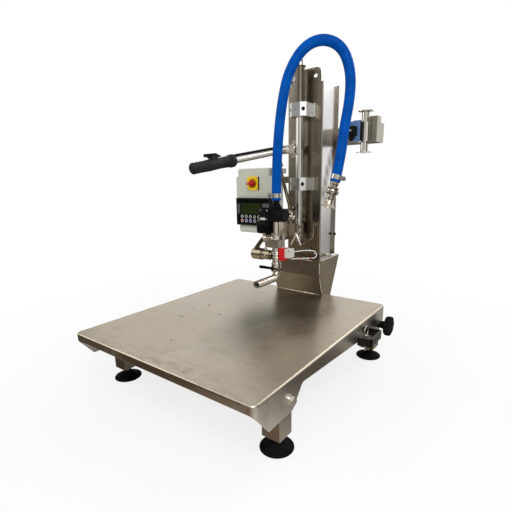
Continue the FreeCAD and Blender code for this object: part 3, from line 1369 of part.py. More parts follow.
def display_bezel():
    """Fascia with the window pocket and the key holes."""
    front = BOX_FRONT - PANEL_DEPTH
    left = box_right() - PANEL_WIDTH
    body = prism(rectangle(left, box_right(), PANEL_BOTTOM, PANEL_TOP, 3), "xz", front, BOX_FRONT)
    x0, x1, z0, z1 = window_place()
    body = body.cut(block(x0, x1, front - 1, front + WINDOW_DEPTH, z0, z1))
    for x, z in key_places():
        body = body.cut(bar((x, front - 1, z), (x, BOX_FRONT - 1.5, z), KEY_DIAMETER / 2 + KEY_GAP))
    return body


def display_window():
    front = BOX_FRONT - PANEL_DEPTH
    x0, x1, z0, z1 = window_place()
    return block(x0, x1, front + 0.8, front + WINDOW_DEPTH, z0, z1)


def panel_key(x, z):
    front = BOX_FRONT - PANEL_DEPTH - KEY_PROUD
    key = bar((x, front, z), (x, BOX_FRONT - 1.5 - KEY_TRAVEL - KEY_GAP, z), KEY_DIAMETER / 2)
    return key.makeFillet(0.8, [e for e in key.Edges if e.BoundBox.YMax < front + 1e-6])


def switch_plate():
    half = SWITCH_PLATE / 2
    plate = prism(rectangle(SWITCH_X - half, SWITCH_X + half, SWITCH_Z - half, SWITCH_Z + half, 3), "xz",
                  BOX_FRONT - SWITCH_PLATE_THICKNESS, BOX_FRONT)
    return plate.cut(bar((SWITCH_X, BOX_FRONT - 10, SWITCH_Z), (SWITCH_X, BOX_FRONT + 1, SWITCH_Z),
                         SWITCH_SHAFT_DIAMETER / 2 + RUNNING_CLEARANCE))


def switch_handle():
    """Rotary main switch: hub, grip bar and spindle, its axis along Y."""
    face = BOX_FRONT - SWITCH_PLATE_THICKNESS - SLIDING_GAP
    hub = bar((SWITCH_X, face - 9, SWITCH_Z), (SWITCH_X, face, SWITCH_Z), SWITCH_HANDLE_DIAMETER / 2)
    half = SWITCH_HANDLE_LENGTH / 2
    outline = rectangle(SWITCH_X - half, SWITCH_X + half, SWITCH_Z - 7, SWITCH_Z + 7, 6)
    grip = prism(outline, "xz", face - 22, face - 2)
    inside = (SWITCH_X, BOX_FRONT + 8, SWITCH_Z)
    spindle = bar((SWITCH_X, face - 4, SWITCH_Z), inside, SWITCH_SHAFT_DIAMETER / 2)
    return fuse([hub, grip, spindle])


def box_bracket():
    """Two flat rails from the column's left return to the back of the control box."""
    rear = BOX_FRONT + BOX_DEPTH
    column_side = -COLUMN_WIDTH / 2 + 4
    solids = []
    for z in (BOX_BOTTOM + 34, BOX_TOP - 60):
        strip = block(BOX_LEFT + 14, column_side, rear, rear + 4, z, z + 26)
        spacer = block(column_side - 14, column_side, COLUMN_REAR, rear + 1, z, z + 26)
        solids.append(fuse([strip, spacer]))
    return group(solids)


# Flow meter at the column's right

def meter_bar(half, radius):
    return bar((METER_X, METER_Y, METER_Z - half), (METER_X, METER_Y, METER_Z + half), radius)


def meter_bracket():
    """Arm of folded sheet from the column's right return, turned forward at its end."""
    t = BRACKET_SHEET
    x0 = COLUMN_WIDTH / 2 + 2
    x1 = METER_X + BRACKET_REACH
    y = COLUMN_REAR + t
    tip = METER_Y - BRACKET_TIP
    outline = [(x0, COLUMN_REAR, 0), (x1 - t, COLUMN_REAR, 0), (x1 - t, tip, 0), (x1, tip, 0),
               (x1, y, 3), (x0, y, 0)]
    arm = prism(outline, "xy", METER_Z - BRACKET_BELOW, METER_Z + BRACKET_ABOVE)
    tab = block(x1 - t, x1, tip, METER_Y + BRACKET_TAB_DEPTH, METER_Z + BRACKET_TAB_LOW,
                METER_Z + BRACKET_TAB_HIGH)
    return fuse([arm, tab])


def meter_cradle():
    """Channel between the bracket and the meter body, with its saddle."""
    x1 = METER_X + BRACKET_REACH - BRACKET_SHEET
    x0 = x1 - CRADLE_WIDTH
    t = CRADLE_SHEET
    outer = block(x0, x1, METER_Y - 14, METER_Y + 24, METER_Z - 33, METER_Z + 45)
    inner = block(x0 + t, x1 - t, METER_Y - 14 + t, METER_Y + 25, METER_Z - 34, METER_Z + 46)
    channel = outer.cut(inner)
    pad = block(METER_X, x0, METER_Y - 10, METER_Y + 10, METER_Z - 24, METER_Z + 24)
    body = fuse([channel, pad])
    return body.cut(meter_bar(50, METER_BODY_DIAMETER / 2))


def meter_tube():
    """Measuring tube with a thicker middle and a clamp ferrule at each end."""
    inner = TUBE_DIAMETER / 2 - TUBE_WALL
    outer = TUBE_DIAMETER / 2
    rim = FERRULE_DIAMETER / 2
    body = METER_BODY_DIAMETER / 2
    half = METER_FACE_TO_FACE / 2
    middle = METER_BODY_HEIGHT / 2
    profile = [(inner, -half), (rim, -half), (rim, 2.5 - half), (outer, 5 - half), (outer, -middle),
               (body, -middle), (body, middle), (outer, middle), (outer, half - 5), (rim, half - 2.5),
               (rim, half), (inner, half)]
    return lathe(profile, (METER_X, METER_Y, METER_Z))


def meter_housing():
    """Blue-grey electronics housing on the meter's front."""
    rear = METER_Y - METER_BODY_DIAMETER / 2 + 4
    x0 = METER_X - 34
    outline = rectangle(x0, x0 + HOUSING_WIDTH, METER_Z - 30, METER_Z + 30, 4)
    body = prism(outline, "xz", rear - HOUSING_DEPTH, rear)
    lug = block(x0 + 4, x0 + 28, rear - 12, rear, METER_Z + 29, METER_Z + 35)
    body = fuse([body, lug])
    return body.cut(meter_bar(50, METER_BODY_DIAMETER / 2))


def meter_plug():
    """Square plug with its cable gland on the housing's front."""
    rear = METER_Y - METER_BODY_DIAMETER / 2 + 4 - HOUSING_DEPTH
    x0 = METER_X - 34
    body = prism(rectangle(x0, x0 + 28, METER_Z - 16, METER_Z + 14, 3), "xz", rear - 20, rear)
    x = x0 + 13
    nut = bar((x, rear - 10, METER_Z - 24), (x, rear - 10, METER_Z - 15), 9)
    gland = bar((x, rear - 10, METER_Z - 31), (x, rear - 10, METER_Z - 23), 6)
    screw = bar((x, rear - 21, METER_Z), (x, rear - 19, METER_Z), 3)
    return fuse([body, nut, gland, screw])


def build():
    parts["base_frame"] = base_frame()
    parts["foot_pads"] = foot_pads()
    parts["foot_spindles"] = foot_spindles()
    parts["table_tray"] = table_tray()
    parts["pivot_bolts"] = pivot_bolts()
    parts["lock_knob"] = lock_knob()
    parts["side_strap"] = side_strap()
    parts["retaining_pins"] = retaining_pins()
    parts["console"] = console()
    parts["column"] = column()
    parts["saddle_plate"] = saddle_plate()
    parts["guide_blocks"] = guide_blocks()
    parts["small_screws"] = small_screws()
    parts["lift_shaft"] = lift_shaft()
    parts["stop_sleeve"] = stop_sleeve()
    parts["fulcrum_bracket"] = fulcrum_bracket()
    parts["lever_fork"] = lever_fork()
    parts["lever_tube"] = lever_tube()
    parts["lever_grip"] = lever_grip()
    parts["trigger"] = trigger()
    parts["link_rod"] = link_rod()
    parts["shaft_hub"] = shaft_hub()
    parts["head_arm"] = head_arm()
    parts["fill_valve"] = fill_valve()
    parts["valve_spigot"] = valve_spigot()
    parts["valve_actuator"] = valve_actuator()
    parts["fill_pipes"] = fill_pipes()
    parts["tri_clamp"] = tri_clamp()
    parts["wing_nut"] = wing_nut()
    parts["nozzle"] = nozzle()
    parts["outlet_lever"] = outlet_lever()
    parts["vacuum_port"] = vacuum_port()
    parts["sensor_block"] = sensor_block()
    parts["sensor_plug"] = sensor_plug()
    parts["sensor_tube"] = sensor_tube()
    parts["hose"] = hose()
    parts["hose_clamps"] = hose_clamps()
    parts["hose_fitting"] = hose_fitting()
    parts["box_bracket"] = box_bracket()
    parts["enclosure_base"] = enclosure_base()
    parts["enclosure_lid"] = enclosure_lid()
    parts["display_bezel"] = display_bezel()
    parts["display_window"] = display_window()
    parts["switch_plate"] = switch_plate()
    parts["switch_handle"] = switch_handle()
    parts["meter_bracket"] = meter_bracket()
    parts["meter_cradle"] = meter_cradle()
    parts["meter_tube"] = meter_tube()
    parts["meter_housing"] = meter_housing()
    parts["meter_plug"] = meter_plug()
    for i, (x, z) in enumerate(key_places()):
        parts["key_" + str(i + 1)] = panel_key(x, z)


build()
os.makedirs("parts", exist_ok=True)
for name, shape in parts.items():
    shape.exportStep("parts/" + name + ".step")
    print(name, len(shape.Solids), shape.isValid(), round(shape.Volume / 1000, 1))
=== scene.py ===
import math
import random

import bmesh
import bpy
from mathutils import Matrix, Vector


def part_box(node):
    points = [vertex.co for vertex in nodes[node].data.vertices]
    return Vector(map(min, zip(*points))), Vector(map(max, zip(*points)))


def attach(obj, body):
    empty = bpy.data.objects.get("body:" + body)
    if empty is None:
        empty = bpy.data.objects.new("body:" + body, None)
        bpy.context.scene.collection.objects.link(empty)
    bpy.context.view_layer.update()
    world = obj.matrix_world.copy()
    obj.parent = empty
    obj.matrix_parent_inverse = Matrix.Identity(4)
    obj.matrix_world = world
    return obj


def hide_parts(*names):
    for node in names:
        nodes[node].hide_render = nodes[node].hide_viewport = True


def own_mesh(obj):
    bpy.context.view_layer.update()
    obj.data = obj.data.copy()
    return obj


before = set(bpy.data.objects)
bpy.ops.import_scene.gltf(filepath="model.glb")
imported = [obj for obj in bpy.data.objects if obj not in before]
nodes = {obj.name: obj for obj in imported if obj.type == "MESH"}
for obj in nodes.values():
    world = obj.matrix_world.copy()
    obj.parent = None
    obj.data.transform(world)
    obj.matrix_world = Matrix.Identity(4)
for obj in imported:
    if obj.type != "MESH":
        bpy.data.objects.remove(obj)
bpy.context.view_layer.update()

MM = 0.001

# The product hose and the level switch's tube, in metres
HOSE_DIAMETER = 0.031
HOSE_POINTS = [
    (0, 0.129, 0.529), (0.004, 0.127, 0.640), (0.011, 0.130, 0.744), (0.018, 0.141, 0.833),
    (0.031, 0.155, 0.909), (0.067, 0.180, 0.974), (0.119, 0.205, 0.9925), (0.169, 0.231, 0.966),
    (0.191, 0.245, 0.901), (0.190, 0.248, 0.827), (0.186, 0.222, 0.739), (0.193, 0.190, 0.656),
    (0.184, 0.175, 0.583)]
SENSOR_TUBE_DIAMETER = 0.0034
SENSOR_TUBE_START = (0.049, 0.148)
SENSOR_TUBE_WAY = (0.804, 0.595)
SENSOR_TUBE_RUN = [
    (0, 0.359), (0.024, 0.3625), (0.052, 0.364), (0.080, 0.361), (0.082, 0.338), (0.056, 0.3365),
    (0.028, 0.338), (-0.004, 0.335)]

# Shared places in millimetres: X to the operator's right, Y away from the operator, Z up
HEAD_Y = 129
SADDLE_FRONT = 298
LEVER_X = -28
FULCRUM = Vector((LEVER_X, 273, 698))
LEVER_WAY = Vector((0, -0.98796, -0.15471))
LEVER_OVER = Vector((0, -0.15471, 0.98796))
FRONT = (0, -1, 0)
UP = (0, 0, 1)
TINY = 1e-6


def srgb(r, g, b):
    """A colour as written on screen, from 0 to 255, as linear light."""
    out = []
    for v in (r, g, b):
        v = v / 255
        out.append(v / 12.92 if v <= 0.04045 else ((v + 0.055) / 1.055) ** 2.4)
    return (out[0], out[1], out[2], 1.0)


def add(name, data):
    made = bpy.data.objects.new(name, data)
    bpy.context.scene.collection.objects.link(made)
    return made


# Camera

def make_camera():
    """The photograph's viewpoint, found from the table's corners, feet, column and control box."""
    place = (0.697937, -0.896864, 0.589895)
    yaw, pitch, roll = 0.637, 0.250, -0.017
    forward = Vector((-math.sin(yaw) * math.cos(pitch), math.cos(yaw) * math.cos(pitch), -math.sin(pitch)))
    right = Vector((math.cos(yaw), math.sin(yaw), 0))
    up = right.cross(forward)
    x = right * math.cos(roll) + up * math.sin(roll)
    y = up * math.cos(roll) - right * math.sin(roll)
    data = bpy.data.cameras.new("camera")
    data.sensor_width = 36
    data.lens = 26.285
    data.shift_x = -0.0127
    data.shift_y = 0.040
    data.clip_start = 0.02
    data.clip_end = 50
    camera = add("camera", data)
    turn = Matrix((x, y, -forward)).transposed()
    camera.matrix_world = Matrix.Translation(place) @ turn.to_4x4()
    bpy.context.scene.camera = camera


make_camera()


# Materials

class Paint:
    """One procedural material, in the object's own coordinates in metres."""

    def __init__(self, name):
        self.material = bpy.data.materials.new(name)
        self.material.use_nodes = True
        self.tree = self.material.node_tree
        self.shader = self.tree.nodes["Principled BSDF"]
        self.coords = self.node("ShaderNodeTexCoord").outputs["Object"]

    def node(self, kind, inputs=None, **settings):
        made = self.tree.nodes.new(kind)
        for key, value in settings.items():
            setattr(made, key, value)
        for key, value in (inputs or {}).items():
            self.feed(value, made.inputs[key])
        return made

    def feed(self, value, socket):
        """A link where the value comes from another node, and the socket's own value otherwise."""
        if isinstance(value, bpy.types.NodeSocket):
            self.tree.links.new(value, socket)
        else:
            socket.default_value = value

    def noise(self, scale, stretch=(1, 1, 1), detail=3.0, rough=0.55):
        place = self.node("ShaderNodeMapping", {"Vector": self.coords, "Scale": stretch})
        made = self.node("ShaderNodeTexNoise", {
            "Vector": place.outputs[0], "Scale": scale, "Detail": detail, "Roughness": rough})
        return made.outputs["Fac"]

    def math(self, kind, a, b):
        return self.node("ShaderNodeMath", {0: a, 1: b}, operation=kind).outputs[0]

    def spread(self, fac, low, high, start=0.3, end=0.7):
        """A value read as low to high between start and end."""
        return self.node("ShaderNodeMapRange", {
            "Value": fac, "From Min": start, "From Max": end, "To Min": low, "To Max": high}).outputs[0]

    def mix(self, fac, a, b, blend="MIX"):
        made = self.node("ShaderNodeMix", data_type="RGBA", blend_type=blend)
        for value, socket in ((fac, 0), (a, 6), (b, 7)):
            self.feed(value, made.inputs[socket])
        return made.outputs[2]

    def scaled(self, color, factor):
        return self.node("ShaderNodeVectorMath", {0: color, 3: factor}, operation="SCALE").outputs[0]

    def length(self, vector):
        return self.node("ShaderNodeVectorMath", {0: vector}, operation="LENGTH").outputs["Value"]

    def link(self, value, name):
        self.tree.links.new(value, self.shader.inputs[name])

    def surface(self, value):
        self.tree.links.new(value, self.tree.nodes["Material Output"].inputs["Surface"])

    def bump(self, height, strength, distance):
        made = self.node("ShaderNodeBump", {"Height": height, "Strength": strength, "Distance": distance})
        self.link(made.outputs[0], "Normal")


# Noise scales of the brushing: long grain along one axis, fine across it
BRUSH_X = (9, 620, 620)
BRUSH_Y = (620, 9, 620)
BRUSH_Z = (620, 620, 9)
WARM = (0.97, 0.93, 0.86, 1)
# How squarely a sheet faces a way where that way's painted shading colour starts, and where it is full
FACING_START = 0.72
FACING_FULL = 0.95


def metal_paint(name, color, rough=0.34, brush=BRUSH_Z, front=None, side=None, top=None, grain=0.07,
                smudge=0.12, warm=WARM, bump=0.05):
    """Brushed metal: fine streaks, soft smudges, and painted shading: a lighter or darker colour of its own for
    each way that a sheet faces.
    """
    paint = Paint(name)
    streak = paint.noise(1.0, brush, 4.0, 0.6)
    hair = paint.noise(1.0, tuple(3.1 * v for v in brush), 2.0, 0.5)
    cloud = paint.noise(7.0, detail=5.0, rough=0.6)
    spots = paint.noise(55.0, detail=4.0, rough=0.7)
    normal = paint.node("ShaderNodeNewGeometry").outputs["Normal"]
    parts = paint.node("ShaderNodeSeparateXYZ", {0: normal})
    base = color
    # Painted shading: faces toward the front, the right side and the top get their own lighter or darker colour
    for socket, sign, other in ((1, -1.0, front), (0, 1.0, side), (2, 1.0, top)):
        if other is not None:
            toward = paint.math("MULTIPLY", parts.outputs[socket], sign)
            facing = paint.spread(toward, 0.0, 1.0, FACING_START, FACING_FULL)
            base = paint.mix(facing, base, other)
    lines = paint.math("ADD", paint.spread(streak, 1 - grain, 1 + grain),
                       paint.spread(hair, -grain / 2, grain / 2))
    tone = paint.math("MULTIPLY", lines, paint.spread(cloud, 1 - smudge, 1 + smudge))
    tinted = paint.mix(1.0, base, warm, "MULTIPLY")
    base = paint.scaled(paint.mix(paint.spread(spots, 0.0, 0.55, 0.45, 0.75), base, tinted), tone)
    paint.link(base, "Base Color")
    roughness = paint.math("ADD", paint.spread(streak, rough - 0.05, rough + 0.05),
                           paint.spread(cloud, -0.05, 0.05))
    paint.link(roughness, "Roughness")
    paint.shader.inputs["Metallic"].default_value = 1.0
    paint.bump(paint.math("ADD", streak, hair), bump, 0.00008)
    return paint, base


def metal(*values, **named):
    """The material alone, for metals with nothing painted over them."""
    return metal_paint(*values, **named)[0].material


def patch(paint, centre, size, soft=0.35):
    """A soft-edged ellipse from 1 in its middle to 0 outside, with sizes in metres."""
    place = paint.node("ShaderNodeMapping", {
        "Vector": paint.coords, "Location": tuple(-c / s for c, s in zip(centre, size)),
        "Scale": tuple(1 / s for s in size)})
    return paint.spread(paint.length(place.outputs[0]), 1.0, 0.0, soft, 1.0)


TABLE_Z = 0.183
# Dark marks on the tray: middle and half sizes in metres
TABLE_MARKS = [
    (-0.165, -0.161, 0.022, 0.003), (-0.174, -0.027, 0.007, 0.006), (-0.160, -0.045, 0.005, 0.004),
    (-0.077, -0.081, 0.010, 0.004), (0.18, -0.02, 0.012, 0.003), (-0.05, -0.30, 0.006, 0.004)]
# Middles in Y and Z of the spots that make up the painted dark reflection of the hose on the column's right
# side, in metres
COLUMN_HOSE_REFLECTION = [
    (0.402, 0.715), (0.385, 0.685), (0.366, 0.652), (0.350, 0.617), (0.336, 0.580), (0.325, 0.545)]
COLUMN_SIDE_X = 0.072


def table_material():
    """The tray's worn top: painted shade on its front faces and painted light on its sides, a soft painted dark
    reflection of the column before the console, brown stains by the front edge, scratches.
    """
    # Painted shading: front faces darker, side faces lighter
    paint, base = metal_paint("table_steel", srgb(180, 170, 152), 0.33, BRUSH_Y, srgb(112, 95, 76),
                              srgb(192, 187, 178), grain=0.035, smudge=0.07, warm=(0.96, 0.91, 0.84, 1),
                              bump=0.03)
    # Painted reflection: a soft dark zone before the console stands for the column mirrored in the tray
    painted_reflection = patch(paint, (0.085, 0.01, TABLE_Z), (0.155, 0.36, 0.5), 0.0)
    base = paint.mix(paint.math("MULTIPLY", painted_reflection, 0.74), base, srgb(80, 79, 71))
    edge = patch(paint, (0.0, -0.425, 0.175), (0.40, 0.10, 0.1), 0.2)
    stain = paint.spread(paint.noise(34.0, (0.7, 1.6, 1), 5.0, 0.7), 0.0, 0.55, 0.48, 0.66)
    base = paint.mix(paint.math("MULTIPLY", edge, stain), base, srgb(120, 98, 70))
    dark_blotch = paint.spread(paint.noise(9.0, (1.0, 2.2, 1), 6.0, 0.75), 0.0, 0.30, 0.52, 0.70)
    base = paint.mix(dark_blotch, base, srgb(118, 110, 96))
    wipe = paint.spread(paint.noise(5.0, (2.0, 0.8, 1), 5.0, 0.7), 0.0, 0.35, 0.55, 0.72)
    base = paint.mix(wipe, base, srgb(190, 184, 172))
    left = patch(paint, (-0.22, -0.25, TABLE_Z), (0.26, 0.24, 0.2), 0.0)
    base = paint.mix(paint.math("MULTIPLY", left, 0.30), base, srgb(160, 146, 128))
    for x, y, long, wide in TABLE_MARKS:
        mark = patch(paint, (x, y, TABLE_Z), (long, wide, 0.02))
        base = paint.mix(paint.math("MULTIPLY", mark, 0.9), base, srgb(74, 66, 54))
    paint.link(base, "Base Color")
    return paint.material


def column_material():
    """Folded column: grey-brown front and paler sides from painted shading, painted shade low on the right
    side, and a painted dark reflection of the hose that slants down and forward.
    """
    paint, base = metal_paint("column_steel", srgb(168, 163, 154), 0.24, BRUSH_Z, srgb(146, 138, 124),
                              srgb(222, 221, 221), smudge=0.06)
    # Painted shade: the right side darker towards its lower part
    lower = patch(paint, (COLUMN_SIDE_X, 0.36, 0.44), (0.02, 0.11, 0.16), 0.2)
    base = paint.mix(paint.math("MULTIPLY", lower, 0.7), base, srgb(168, 163, 160))
    # Painted reflection: a dark band of spots on the right side stands for the hose and its fitting mirrored
    # there
    dark_blotch = None
    for y, z in COLUMN_HOSE_REFLECTION:
        spot = patch(paint, (COLUMN_SIDE_X, y, z), (0.02, 0.026, 0.040), 0.1)
        dark_blotch = spot if dark_blotch is None else paint.math("MAXIMUM", dark_blotch, spot)
    base = paint.mix(paint.math("MULTIPLY", dark_blotch, 0.85), base, srgb(98, 91, 80))
    paint.link(base, "Base Color")
    return paint.material


def link_material():
    """Dull rod with bright zinc forks at both ends."""
    paint, base = metal_paint("link_zinc", srgb(136, 127, 113), 0.20, grain=0.05, smudge=0.10, bump=0.02)
    for centre in ((-0.028, 0.274, 0.461), (-0.028, 0.178, 0.668)):
        base = paint.mix(patch(paint, centre, (0.034, 0.034, 0.034), 0.85), base, srgb(226, 224, 218))
    paint.link(base, "Base Color")
    return paint.material


def plastic(name, color, rough=0.42, grain=0.25, mottle=0.10, scale=1400.0, bump_size=0.00010, shine=0.5):
    """Moulded plastic or paint: fine spark-eroded grain, faint mottling and handling marks."""
    paint = Paint(name)
    fine = paint.noise(scale, detail=2.0)
    cloud = paint.noise(18.0, detail=5.0, rough=0.65)
    rub = paint.noise(1.0, (40, 160, 25), 4.0, 0.6)
    darker = tuple((1 - mottle) * v for v in color[:3]) + (1.0,)
    lighter = tuple(v + (1 - v) * mottle * 0.04 + v * mottle * 0.6 for v in color[:3]) + (1.0,)
    base = paint.mix(paint.spread(cloud, 0.0, 1.0), darker, lighter)
    paint.link(base, "Base Color")
    roughness = paint.math("ADD", paint.spread(cloud, rough - 0.06, rough + 0.06),
                           paint.spread(rub, -0.04, 0.04))
    paint.link(roughness, "Roughness")
    paint.shader.inputs["Specular IOR Level"].default_value = shine
    paint.bump(fine, grain, bump_size)
    return paint.material


def hose_material():
    """Smooth blue food hose: deep blue with a faint lengthwise bloom and dust."""
    paint = Paint("hose_blue")
    cloud = paint.noise(26.0, detail=4.0)
    dust = paint.noise(420.0, detail=3.0, rough=0.7)
    base = paint.mix(paint.spread(cloud, 0.0, 1.0), srgb(0, 68, 148), srgb(0, 82, 174))
    base = paint.mix(paint.spread(dust, 0.0, 0.04, 0.55, 0.8), base, srgb(0, 104, 196))
    paint.link(base, "Base Color")
    paint.link(paint.spread(cloud, 0.34, 0.44), "Roughness")
    paint.shader.inputs["Specular IOR Level"].default_value = 0.03
    paint.bump(paint.noise(70.0, detail=3.0), 0.10, 0.0004)
    return paint.material


# Metals: name, colour, roughness and grain direction, then painted shading colours for faces toward the front,
# the right side and the top
# Plastics: name, colour, roughness, depth of grain, mottling and scale of grain
mats = {
    "frame": metal("frame_steel", srgb(140, 131, 117), 0.34, BRUSH_X, srgb(102, 85, 67)),
    "table": table_material(),
    "console": metal("console_steel", srgb(140, 132, 116), 0.27, BRUSH_X, srgb(128, 119, 105),
                     srgb(140, 130, 111)),
    "column": column_material(),
    "saddle": metal("saddle_steel", srgb(140, 125, 102), 0.28, BRUSH_Z, smudge=0.10),
    "arm": metal("arm_steel", srgb(178, 170, 154), 0.26, BRUSH_Y),
    "strap": metal("strap_steel", srgb(42, 41, 38), 0.34, BRUSH_Y, top=srgb(72, 70, 66)),
    "bracket": metal("bracket_steel", srgb(176, 170, 158), 0.38, BRUSH_X, srgb(150, 144, 132)),
    "aluminium": metal("machined_aluminium", srgb(226, 226, 225), 0.34, BRUSH_X, srgb(160, 161, 159),
                       grain=0.03, smudge=0.04, warm=(0.98, 0.98, 0.98, 1)),
    "polished": metal("polished_steel", srgb(208, 203, 195), 0.10, grain=0.03, smudge=0.06, bump=0.01),
    "shaft": metal("ground_shaft", srgb(206, 202, 196), 0.12, grain=0.03, smudge=0.04, bump=0.01),
    "sleeve": metal("sleeve_steel", srgb(100, 93, 81), 0.38),
    "pipe": metal("sanitary_pipe", srgb(204, 197, 184), 0.12, grain=0.04, smudge=0.10, bump=0.01),
    "port": metal("port_steel", srgb(150, 141, 120), 0.24, BRUSH_X, grain=0.06, smudge=0.16),
    "lever": metal("lever_chrome", srgb(206, 203, 197), 0.30, BRUSH_Y, grain=0.03, smudge=0.04, bump=0.01),
    "zinc": metal("zinc_plate", srgb(196, 194, 190), 0.20, (120, 120, 120), grain=0.05, bump=0.03),
    "link": link_material(),
    "bright": metal("bright_steel", srgb(232, 230, 226), 0.24, (90, 90, 90), grain=0.03, smudge=0.06,
                    bump=0.01),
    "liner": metal("liner_steel", srgb(214, 210, 202), 0.55, (90, 90, 90), grain=0.04, smudge=0.10),
    "fitting": metal("fitting_steel", srgb(176, 166, 150), 0.10, (60, 60, 60), grain=0.04, smudge=0.14,
                     bump=0.01),
    "spindle": metal("spindle_zinc", srgb(176, 170, 156), 0.28, (90, 90, 700), grain=0.20, bump=0.5),
    "black_steel": metal("blackened_steel", srgb(44, 44, 44), 0.40, (200, 200, 200), grain=0.1, smudge=0.2),
    "bead": metal("weld_bead", srgb(214, 208, 196), 0.24, (160, 160, 160), grain=0.12, smudge=0.2),
    # Dark colour for the painted shade in the hose fitting's grooves and bell
    "groove_shade": plastic("groove_shade_dark", srgb(34, 28, 22), 0.5, 0.2, 0.2, 1200.0, shine=0.05),
    "rubber": plastic("foot_rubber", srgb(9, 9, 9), 0.50, 0.35, 0.30, 900.0, shine=0.008),
    "grip": plastic("grip_rubber", srgb(30, 32, 33), 0.46, 0.45, 0.25, 700.0, 0.0002, 0.10),
    "black": plastic("black_plastic", srgb(5, 5, 5), 0.32, 0.25, 0.25, 1200.0, shine=0.04),
    "fascia": plastic("fascia_black", srgb(8, 8, 8), 0.34, 0.20, 0.20, 1600.0, shine=0.01),
    "knob": plastic("knob_black", srgb(8, 8, 8), 0.46, 0.25, 0.25, 1000.0, shine=0.006),
    "grey": plastic("enclosure_grey", srgb(196, 198, 184), 0.46, 0.30, 0.07, 1500.0, shine=0.25),
    "pale": plastic("pale_plastic", srgb(206, 206, 200), 0.45, 0.25, 0.08, 1300.0, shine=0.30),
    "field": plastic("field_grey", srgb(88, 90, 86), 0.5, 0.2, 0.08, shine=0.15),
    "border": plastic("border_grey", srgb(50, 51, 50), 0.42, 0.2, 0.10, shine=0.15),
    "yellow": plastic("switch_yellow", srgb(246, 206, 10), 0.36, 0.20, 0.06, 1300.0, shine=0.2),
    "red": plastic("switch_red", srgb(190, 22, 10), 0.32, 0.20, 0.08, 1300.0, shine=0.25),
    "sensor_red": plastic("sensor_red", srgb(206, 22, 22), 0.34, 0.22, 0.10, 1200.0, shine=0.25),
    "housing": plastic("housing_blue_grey", srgb(88, 118, 166), 0.44, 0.30, 0.10, 1200.0, shine=0.2),
    "housing_edge": plastic("housing_edge", srgb(112, 140, 186), 0.44, 0.30, 0.10, 1200.0, shine=0.2),
    "white": plastic("tube_white", srgb(224, 224, 220), 0.38, 0.10, 0.06, 1000.0),
    "key_grey": plastic("key_grey", srgb(92, 93, 90), 0.45, 0.25, 0.10, 1500.0, shine=0.15),
    "key_pink": plastic("key_pink", srgb(184, 62, 86), 0.45, 0.25, 0.10, 1500.0, shine=0.15),
    "key_blue": plastic("key_blue", srgb(46, 92, 176), 0.45, 0.25, 0.10, 1500.0, shine=0.15),
    "key_rim": plastic("key_rim", srgb(222, 224, 220), 0.42, 0.20, 0.08, 1500.0, shine=0.3),
    "display": plastic("display_glass", srgb(33, 44, 10), 0.20, 0.05, 0.12, 600.0, shine=0.12),
    "hose": hose_material(),
}

NODE_MATS = {
    "frame": ["base_frame"],
    "table": ["table_tray"],
    "console": ["console"],
    "column": ["column"],
    "saddle": ["saddle_plate"],
    "arm": ["shaft_hub", "head_arm", "fulcrum_bracket"],
    "strap": ["side_strap"],
    "bracket": ["box_bracket", "meter_bracket", "meter_cradle"],
    "aluminium": ["guide_blocks"],
    "polished": ["tri_clamp", "wing_nut", "meter_tube", "hose_fitting", "pivot_bolts"],
    "shaft": ["lift_shaft"],
    "sleeve": ["stop_sleeve"],
    "pipe": ["valve_spigot", "fill_pipes", "nozzle"],
    "port": ["vacuum_port"],
    "lever": ["lever_tube"],
    "zinc": ["hose_clamps", "retaining_pins"],
    "bright": ["lever_fork"],
    "link": ["link_rod"],
    "spindle": ["foot_spindles"],
    "black_steel": ["small_screws"],
    "rubber": ["foot_pads"],
    "grip": ["lever_grip"],
    "black": ["fill_valve", "valve_actuator", "outlet_lever", "trigger", "meter_plug"],
    "fascia": ["display_bezel"],
    "knob": ["lock_knob"],
    "grey": ["enclosure_base", "enclosure_lid"],
    "pale": ["sensor_plug"],
    "yellow": ["switch_plate"],
    "red": ["switch_handle"],
    "sensor_red": ["sensor_block"],
    "housing": ["meter_housing"],
    "display": ["display_window"],
    "key_grey": ["key_1", "key_2", "key_3", "key_4", "key_5", "key_9", "key_10"],
    "key_pink": ["key_6"],
    "key_blue": ["key_7", "key_8"],
}
for key, names in NODE_MATS.items():
    for name in names:
        for slot in nodes[name].material_slots:
            slot.material = mats[key]


# Cords

def nurbs(name, points, radius, material, body, sides=12):
    """A round spline through points in metres."""
    curve = bpy.data.curves.new(name, "CURVE")
    curve.dimensions = "3D"
    spline = curve.splines.new("NURBS")
    spline.points.add(len(points) - 1)
    for point, place in zip(spline.points, points):
        point.co = (place[0], place[1], place[2], 1.0)
    spline.order_u = 3
    spline.use_endpoint_u = True
    spline.resolution_u = 14
    curve.bevel_depth = radius
    curve.bevel_resolution = sides
    curve.use_fill_caps = True
    curve.materials.append(material)
    made = add(name, curve)
    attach(made, body)
    return made


def tube_place(along, z):
    """A point of the level switch's hairpin, from its distance along its way and its height in metres."""
    x, y = SENSOR_TUBE_START
    way_x, way_y = SENSOR_TUBE_WAY
    return (x + way_x * along, y + way_y * along, z)


# The photograph's steel doesn't mirror the hose
hose = nurbs("product_hose", HOSE_POINTS, HOSE_DIAMETER / 2, mats["hose"], "lift")
hose.visible_glossy = False
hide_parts("hose")

tube_points = [tube_place(along, z) for along, z in SENSOR_TUBE_RUN]
sensor_tube = nurbs("level_tube", tube_points, SENSOR_TUBE_DIAMETER / 2, mats["white"], "lift", 6)
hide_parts("sensor_tube")


# Shapes, with all sizes in millimetres

